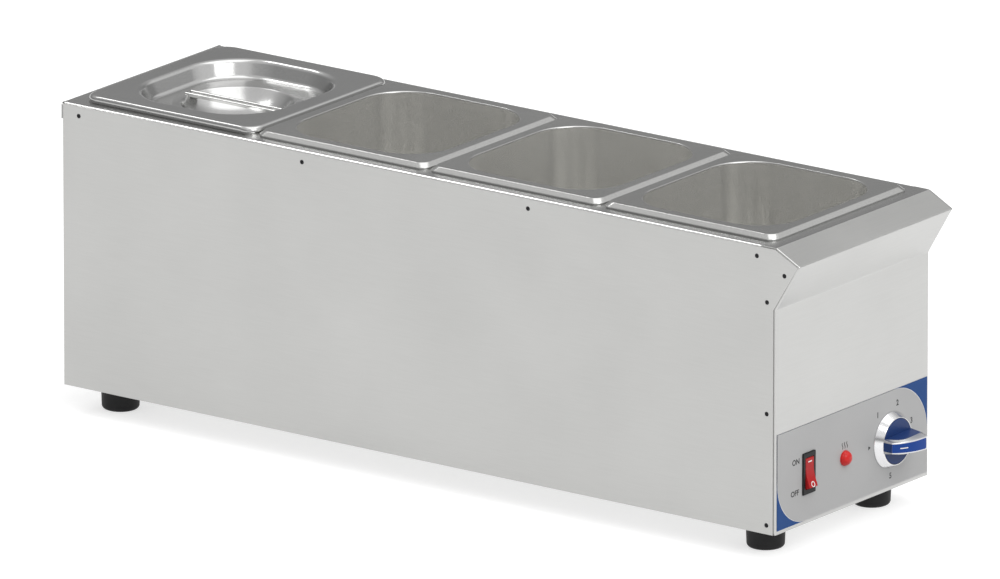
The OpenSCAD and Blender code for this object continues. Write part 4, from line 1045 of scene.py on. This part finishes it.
switch = {
    "width": 15.8, "height": 33.0, "rim": 1.6, "cavityWidth": 11.0, "cavityHeight": 25.2, "cavityDepth": 11.0,
    "bodyWidth": 13.0, "bodyHeight": 28.2, "bodyDepth": 22.0, "edgeRound": 0.6, "cavityRound": 0.25,
    "rockerWidth": 10.4, "rockerRadius": 12.3, "pivotDepth": 2.5, "faceProud": 0.1, "tilt": 20.0, "back": 5.0,
    "crownRound": 4.0, "tipRound": 0.7, "sideRound": 0.4, "dashSize": (4.6, 1.0), "dashRise": 9.2,
    "dashLift": 0.03, "ringRadii": (2.3, 1.6), "ringDrop": 8.4, "ringLift": 0.04, "markThick": 0.06,
}


def makeSwitchRim(plan):
    face = proud(plan["rim"])
    width, height = plan["width"], plan["height"]
    cavityWidth, cavityHeight = plan["cavityWidth"], plan["cavityHeight"]
    middle = at(switchX, 0, controlHeight)
    piece = startBox("switchRim", at(switchX - width / 2, face, controlHeight - height / 2),
                     at(switchX + width / 2, proud(0), controlHeight + height / 2))
    openEdit(piece)
    pick(piece, "FACE", lambda x, y, z, f: f.normal.y > 0.9)
    pull()
    stretch(plan["bodyWidth"] / width, 1, plan["bodyHeight"] / height, middle)
    pull(y=plan["bodyDepth"])
    pick(piece, "FACE", lambda x, y, z, f: near(y, face))
    pull()
    stretch(cavityWidth / width, 1, cavityHeight / height, middle)
    pull(y=plan["cavityDepth"])

    def outerEdge(x, y, z, e):
        onSide = near(abs(x - switchX), width / 2)
        onEnd = near(abs(z - controlHeight), height / 2)
        return near(y, face) and (onSide or onEnd) or near(y, face + plan["rim"] / 2) and onSide

    roundEdges(piece, plan["edgeRound"], 3, outerEdge)
    roundEdges(piece, plan["cavityRound"], 2,
               lambda x, y, z, e: near(y, face) and abs(x - switchX) < cavityWidth / 2 + 0.1
               and abs(z - controlHeight) < cavityHeight / 2 + 0.1)
    finished(piece, 40, "casing", blackPlastic, "black_plastic", "switch_housing")


def makeRocker(plan):
    pivotY = proud(plan["rim"]) + plan["pivotDepth"]
    width, lean = plan["rockerWidth"], math.radians(plan["tilt"])
    middle = at(switchX - width / 2, pivotY, controlHeight)
    faceY = pivotY - plan["pivotDepth"] - plan["faceProud"]
    piece = startCircle("switchRocker", middle, plan["rockerRadius"], 72, facingSide, "NGON")
    openEdit(piece)
    addCut(middle, (0, 0, 1))
    pick(piece, "FACE", lambda x, y, z, f: z > controlHeight)
    bpy.ops.mesh.split()
    shave(at(0, faceY, 0), (0, -1, 0))
    pick(piece, "FACE", lambda x, y, z, f: z < controlHeight)
    shave(at(0, faceY, controlHeight), (0, -math.cos(lean), math.sin(lean)))
    pickAll()
    shave(at(0, pivotY + plan["back"], 0), (0, 1, 0))
    weld()
    pickAll()
    pull(x=width)
    turnOut()
    roundEdges(piece, plan["crownRound"], 6,
               lambda x, y, z, e: near(x, switchX) and near(y, faceY) and near(z, controlHeight))
    roundEdges(piece, plan["tipRound"], 4,
               lambda x, y, z, e: near(x, switchX) and y < pivotY and e.calc_face_angle(0) > 0.7)
    roundEdges(piece, plan["sideRound"], 3,
               lambda x, y, z, e: near(abs(x - switchX), width / 2) and y < pivotY + 1
               and e.calc_face_angle(0) > 1.2)
    finished(piece, 40, "rocker", rockerRed, "rocker_red", "switch_rocker")

    # the marks for on and off, a dash above and a ring below
    dash = startPlane("rockerDash", at(switchX, faceY - plan["dashLift"], controlHeight + plan["dashRise"]),
                      *plan["dashSize"], facingFront)
    outerRadius, innerRadius = plan["ringRadii"]
    drop = plan["ringDrop"]
    ringAt = at(switchX, faceY - drop * math.tan(lean) - plan["ringLift"], controlHeight - drop)
    ring = startCircle("rockerRing", ringAt, outerRadius, 32, (math.pi / 2 - lean, 0, 0))
    openEdit(ring)
    pickAll()
    pull()
    grow = innerRadius / outerRadius
    stretch(grow, grow, grow, ringAt)
    closeEdit()
    marks = merged("rockerMarks", [dash, ring])
    thicken(marks, plan["markThick"], 0)
    dress(marks, "rocker", whiteInk, "label_film")


makeSwitchRim(switch)
makeRocker(switch)
print("switch made")


# Lamp: a red lens with a cut face

lamp = {
    "radius": 6.0, "rim": 1.4, "height": 5.5, "steps": 5, "facets": 12, "inset": 0.4, "firstAngle": 10,
    "sweep": 68, "rimRound": 0.25,
}


def makeLens(plan):
    radius, rim = plan["radius"], plan["rim"]
    middle = at(lampX, proud(0), controlHeight)
    piece = startCircle("lampLens", middle, radius, plan["facets"] * 4, facingFront, "NGON")
    openEdit(piece)
    pickAll()
    pull(y=-rim)
    last, height = radius, rim
    for n in range(plan["steps"] + 1):
        angle = math.radians(plan["firstAngle"] + plan["sweep"] * n / plan["steps"])
        reach = (radius - plan["inset"]) * math.cos(angle)
        rise = rim + (plan["height"] - rim) * math.sin(angle)
        pull(y=height - rise)
        widen(reach / last, middle)
        last, height = reach, rise
    roundEdges(piece, plan["rimRound"], 2,
               lambda x, y, z, e: near(y, proud(rim)) and e.calc_face_angle(0) > 0.3)
    turnOut()
    finished(piece, 25, "casing", lampRed, "lamp_red", "lamp_lens")


makeLens(lamp)
print("lamp made")


# Label: blue film with a grey field on it that leaves two corners blue, a thin white line along each arc,
# and print

label = {
    "halfWidth": 97.7, "low": 2.8, "height": 76.0, "upperArc": 42.5, "lowerArc": 36.5, "arcSteps": 18,
    "line": 1.1, "layer": 0.05, "back": 0.1, "cutDepth": 4.0, "weight": 0.17, "ink": 0.03, "capShare": 0.7,
    "words": (("ON", -73.7, 51.7), ("OFF", -75.0, 27.2)), "letter": 4.2, "number": 4.4, "numberRadius": 28.7,
    "numberAngles": (126, 72, 18, -32, -90), "arrow": 1.9, "arrowInset": 0.6,
    "waveZ": 50.0, "waveHeight": 5.2, "waveWidth": 0.85, "waveSwing": 0.55, "waveSpacing": 3.0, "waveRows": 12,
}


def filmPiece(plan, name, front, back, inset):
    half, low, high = plan["halfWidth"], plan["low"], plan["low"] + plan["height"]
    piece = startBox(name, at(-half, -front, low), at(half, -back, high))
    if inset is not None:
        openEdit(piece)
        for x, z, arc in ((half, high, plan["upperArc"]), (-half, low, plan["lowerArc"])):
            roundEdges(piece, arc + inset, plan["arcSteps"], lambda xx, y, zz, e: near(xx, x) and near(zz, z))
        closeEdit()
    return piece


def makeLabel(plan):
    lineTop = labelThick - plan["layer"]
    films = (
        ("labelBase", lineTop - plan["layer"], 0, None, labelBlue, ["control_label"]),
        ("labelLine", lineTop, plan["back"], 0, labelWhite, []),
        ("labelField", labelThick, plan["back"], plan["line"], labelGrey, []),
    )
    for name, front, back, inset, finish, nodes in films:
        piece = filmPiece(plan, name, front, back, inset)
        cutAway(piece, *controlCutters(plan["cutDepth"], knob["discRadius"], 64))
        dress(piece, "casing", finish, "label_film", *nodes)


def printWord(plan, word, x, z, height):
    clearAll()
    bpy.ops.object.text_add()
    mark = bpy.context.object
    mark.data.body = word
    mark.data.align_x = "CENTER"
    mark.data.align_y = "CENTER"
    mark.data.size = height / plan["capShare"] * mm
    mark.data.extrude = plan["ink"] * mm
    mark.data.offset = plan["weight"] * mm
    bpy.ops.object.convert(target="MESH")
    mark = bpy.context.object
    mark.rotation_euler = facingFront
    mark.location = at(x, -labelThick, z)
    return settle(mark)


def heatWave(plan, x):
    # one rising wavy line of the heat sign
    height, rows = plan["waveHeight"], plan["waveRows"]
    wave = startPlane("heatWave", at(x, -labelThick - plan["ink"], plan["waveZ"]), plan["waveWidth"], height,
                      facingFront)
    levels = [plan["waveZ"] + height * (n / rows - 0.5) for n in range(rows + 1)]
    openEdit(wave)
    for z in levels[1:-1]:
        addCut(at(x, 0, z), (0, 0, 1))
    for n, z in enumerate(levels):
        pick(wave, "VERT", lambda xx, y, zz, v: near(zz, z))
        shift(x=plan["waveSwing"] * math.sin(2 * math.pi * n / rows))
    closeEdit()
    thicken(wave, plan["ink"])
    return wave


def makePrint(plan):
    marks = [printWord(plan, word, x, z, plan["letter"]) for word, x, z in plan["words"]]
    reach = plan["numberRadius"]
    for number, angle in enumerate(plan["numberAngles"], 1):
        turn = math.radians(angle)
        marks.append(printWord(plan, str(number), knobX + reach * math.cos(turn),
                               controlHeight + reach * math.sin(turn), plan["number"]))
    arrow = startCircle("arrowMark", at(knobX - reach + plan["arrowInset"], -labelThick, controlHeight),
                        plan["arrow"], 3, (math.pi / 2, math.pi / 2, 0), "NGON")
    openEdit(arrow)
    pickAll()
    pull(y=-plan["ink"])
    closeEdit()
    marks.append(arrow)
    for n in (-1, 0, 1):
        marks.append(heatWave(plan, lampX + plan["waveSpacing"] * n))
    dress(merged("labelPrint", marks), "casing", printInk, "label_film")


makeLabel(label)
makePrint(label)
print("label made")


# Feet: moulded, a little narrower at the bottom, with a screw recess

foot = {
    "topRadius": 15.4, "lowRadius": 14.6, "height": 21.0, "edgeRound": 3.0, "recessRadius": 6.0,
    "recessDepth": 14.0, "recessRound": 0.5, "side": 69.0, "frontY": 31.0, "rearY": 647.0, "sides": 72,
}


def makeFeet(plan):
    topRadius, lowRadius, recessRadius = plan["topRadius"], plan["lowRadius"], plan["recessRadius"]
    middle = at(-plan["side"], plan["frontY"], -plan["height"] / 2)
    first = startCylinder("footFrontLeft", middle, topRadius, plan["height"], plan["sides"])
    openEdit(first)
    pick(first, "FACE", lambda x, y, z, f: f.normal.z < -0.9)
    stretch(lowRadius / topRadius, lowRadius / topRadius, 1, middle)
    pull()
    stretch(recessRadius / lowRadius, recessRadius / lowRadius, 1, middle)
    pull(z=plan["recessDepth"])
    for radius, rounding, steps in ((lowRadius, plan["edgeRound"], 6), (recessRadius, plan["recessRound"], 2)):
        roundEdges(first, rounding, steps,
                   lambda x, y, z, e: near(z, -plan["height"])
                   and all(near(reach, radius, 1) for reach in reaches(e, -plan["side"], plan["frontY"])))
    closeEdit()
    smooth(first, 40)
    across, along = 2 * plan["side"], plan["rearY"] - plan["frontY"]
    for name, x, y, node in (("footFrontRight", across, 0, "foot_front_right"),
                             ("footRearLeft", 0, along, "foot_rear_left"),
                             ("footRearRight", across, along, "foot_rear_right")):
        dress(copied(first, name, x, y), "casing", rubberFinish, "foot_rubber", node)
    dress(first, "casing", rubberFinish, "foot_rubber", "foot_front_left")


makeFeet(foot)
print("feet made")

# Finishes of the pieces that keep their CAD shape

nodeFinishes = (
    (casingSteel, "rear_panel"), (hiddenSteel, "base_tray", "water_tank"), (blackOxide, "side_screws"),
    (zincSteel, "foot_screws", "foot_nuts", "clamp_bars", "clamp_studs", "clamp_nuts", "sensor_clips",
     "thermostat_screws", "lamp_clip"),
    (boardFinish, "insulation_boards"), (sheathFinish, "heating_element"), (copperFinish, "capillary_sensor"),
    (bakeliteFinish, "thermostat"), (brassFinish, "thermostat_shaft", "terminal_screws", "earth_stud"),
    (blackPlastic, "lamp_body"), (ceramicFinish, "terminal_block"), (wireCover, "wiring"),
    (glandPlastic, "gland_body", "gland_lock_nut", "gland_cap_nut"), (rubberFinish, "gland_seal"),
)
for finish, *nodeNames in nodeFinishes:
    for nodeName in nodeNames:
        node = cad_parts[nodeName]
        node.data.materials.clear()
        node.data.materials.append(finish)
print("CAD pieces finished")
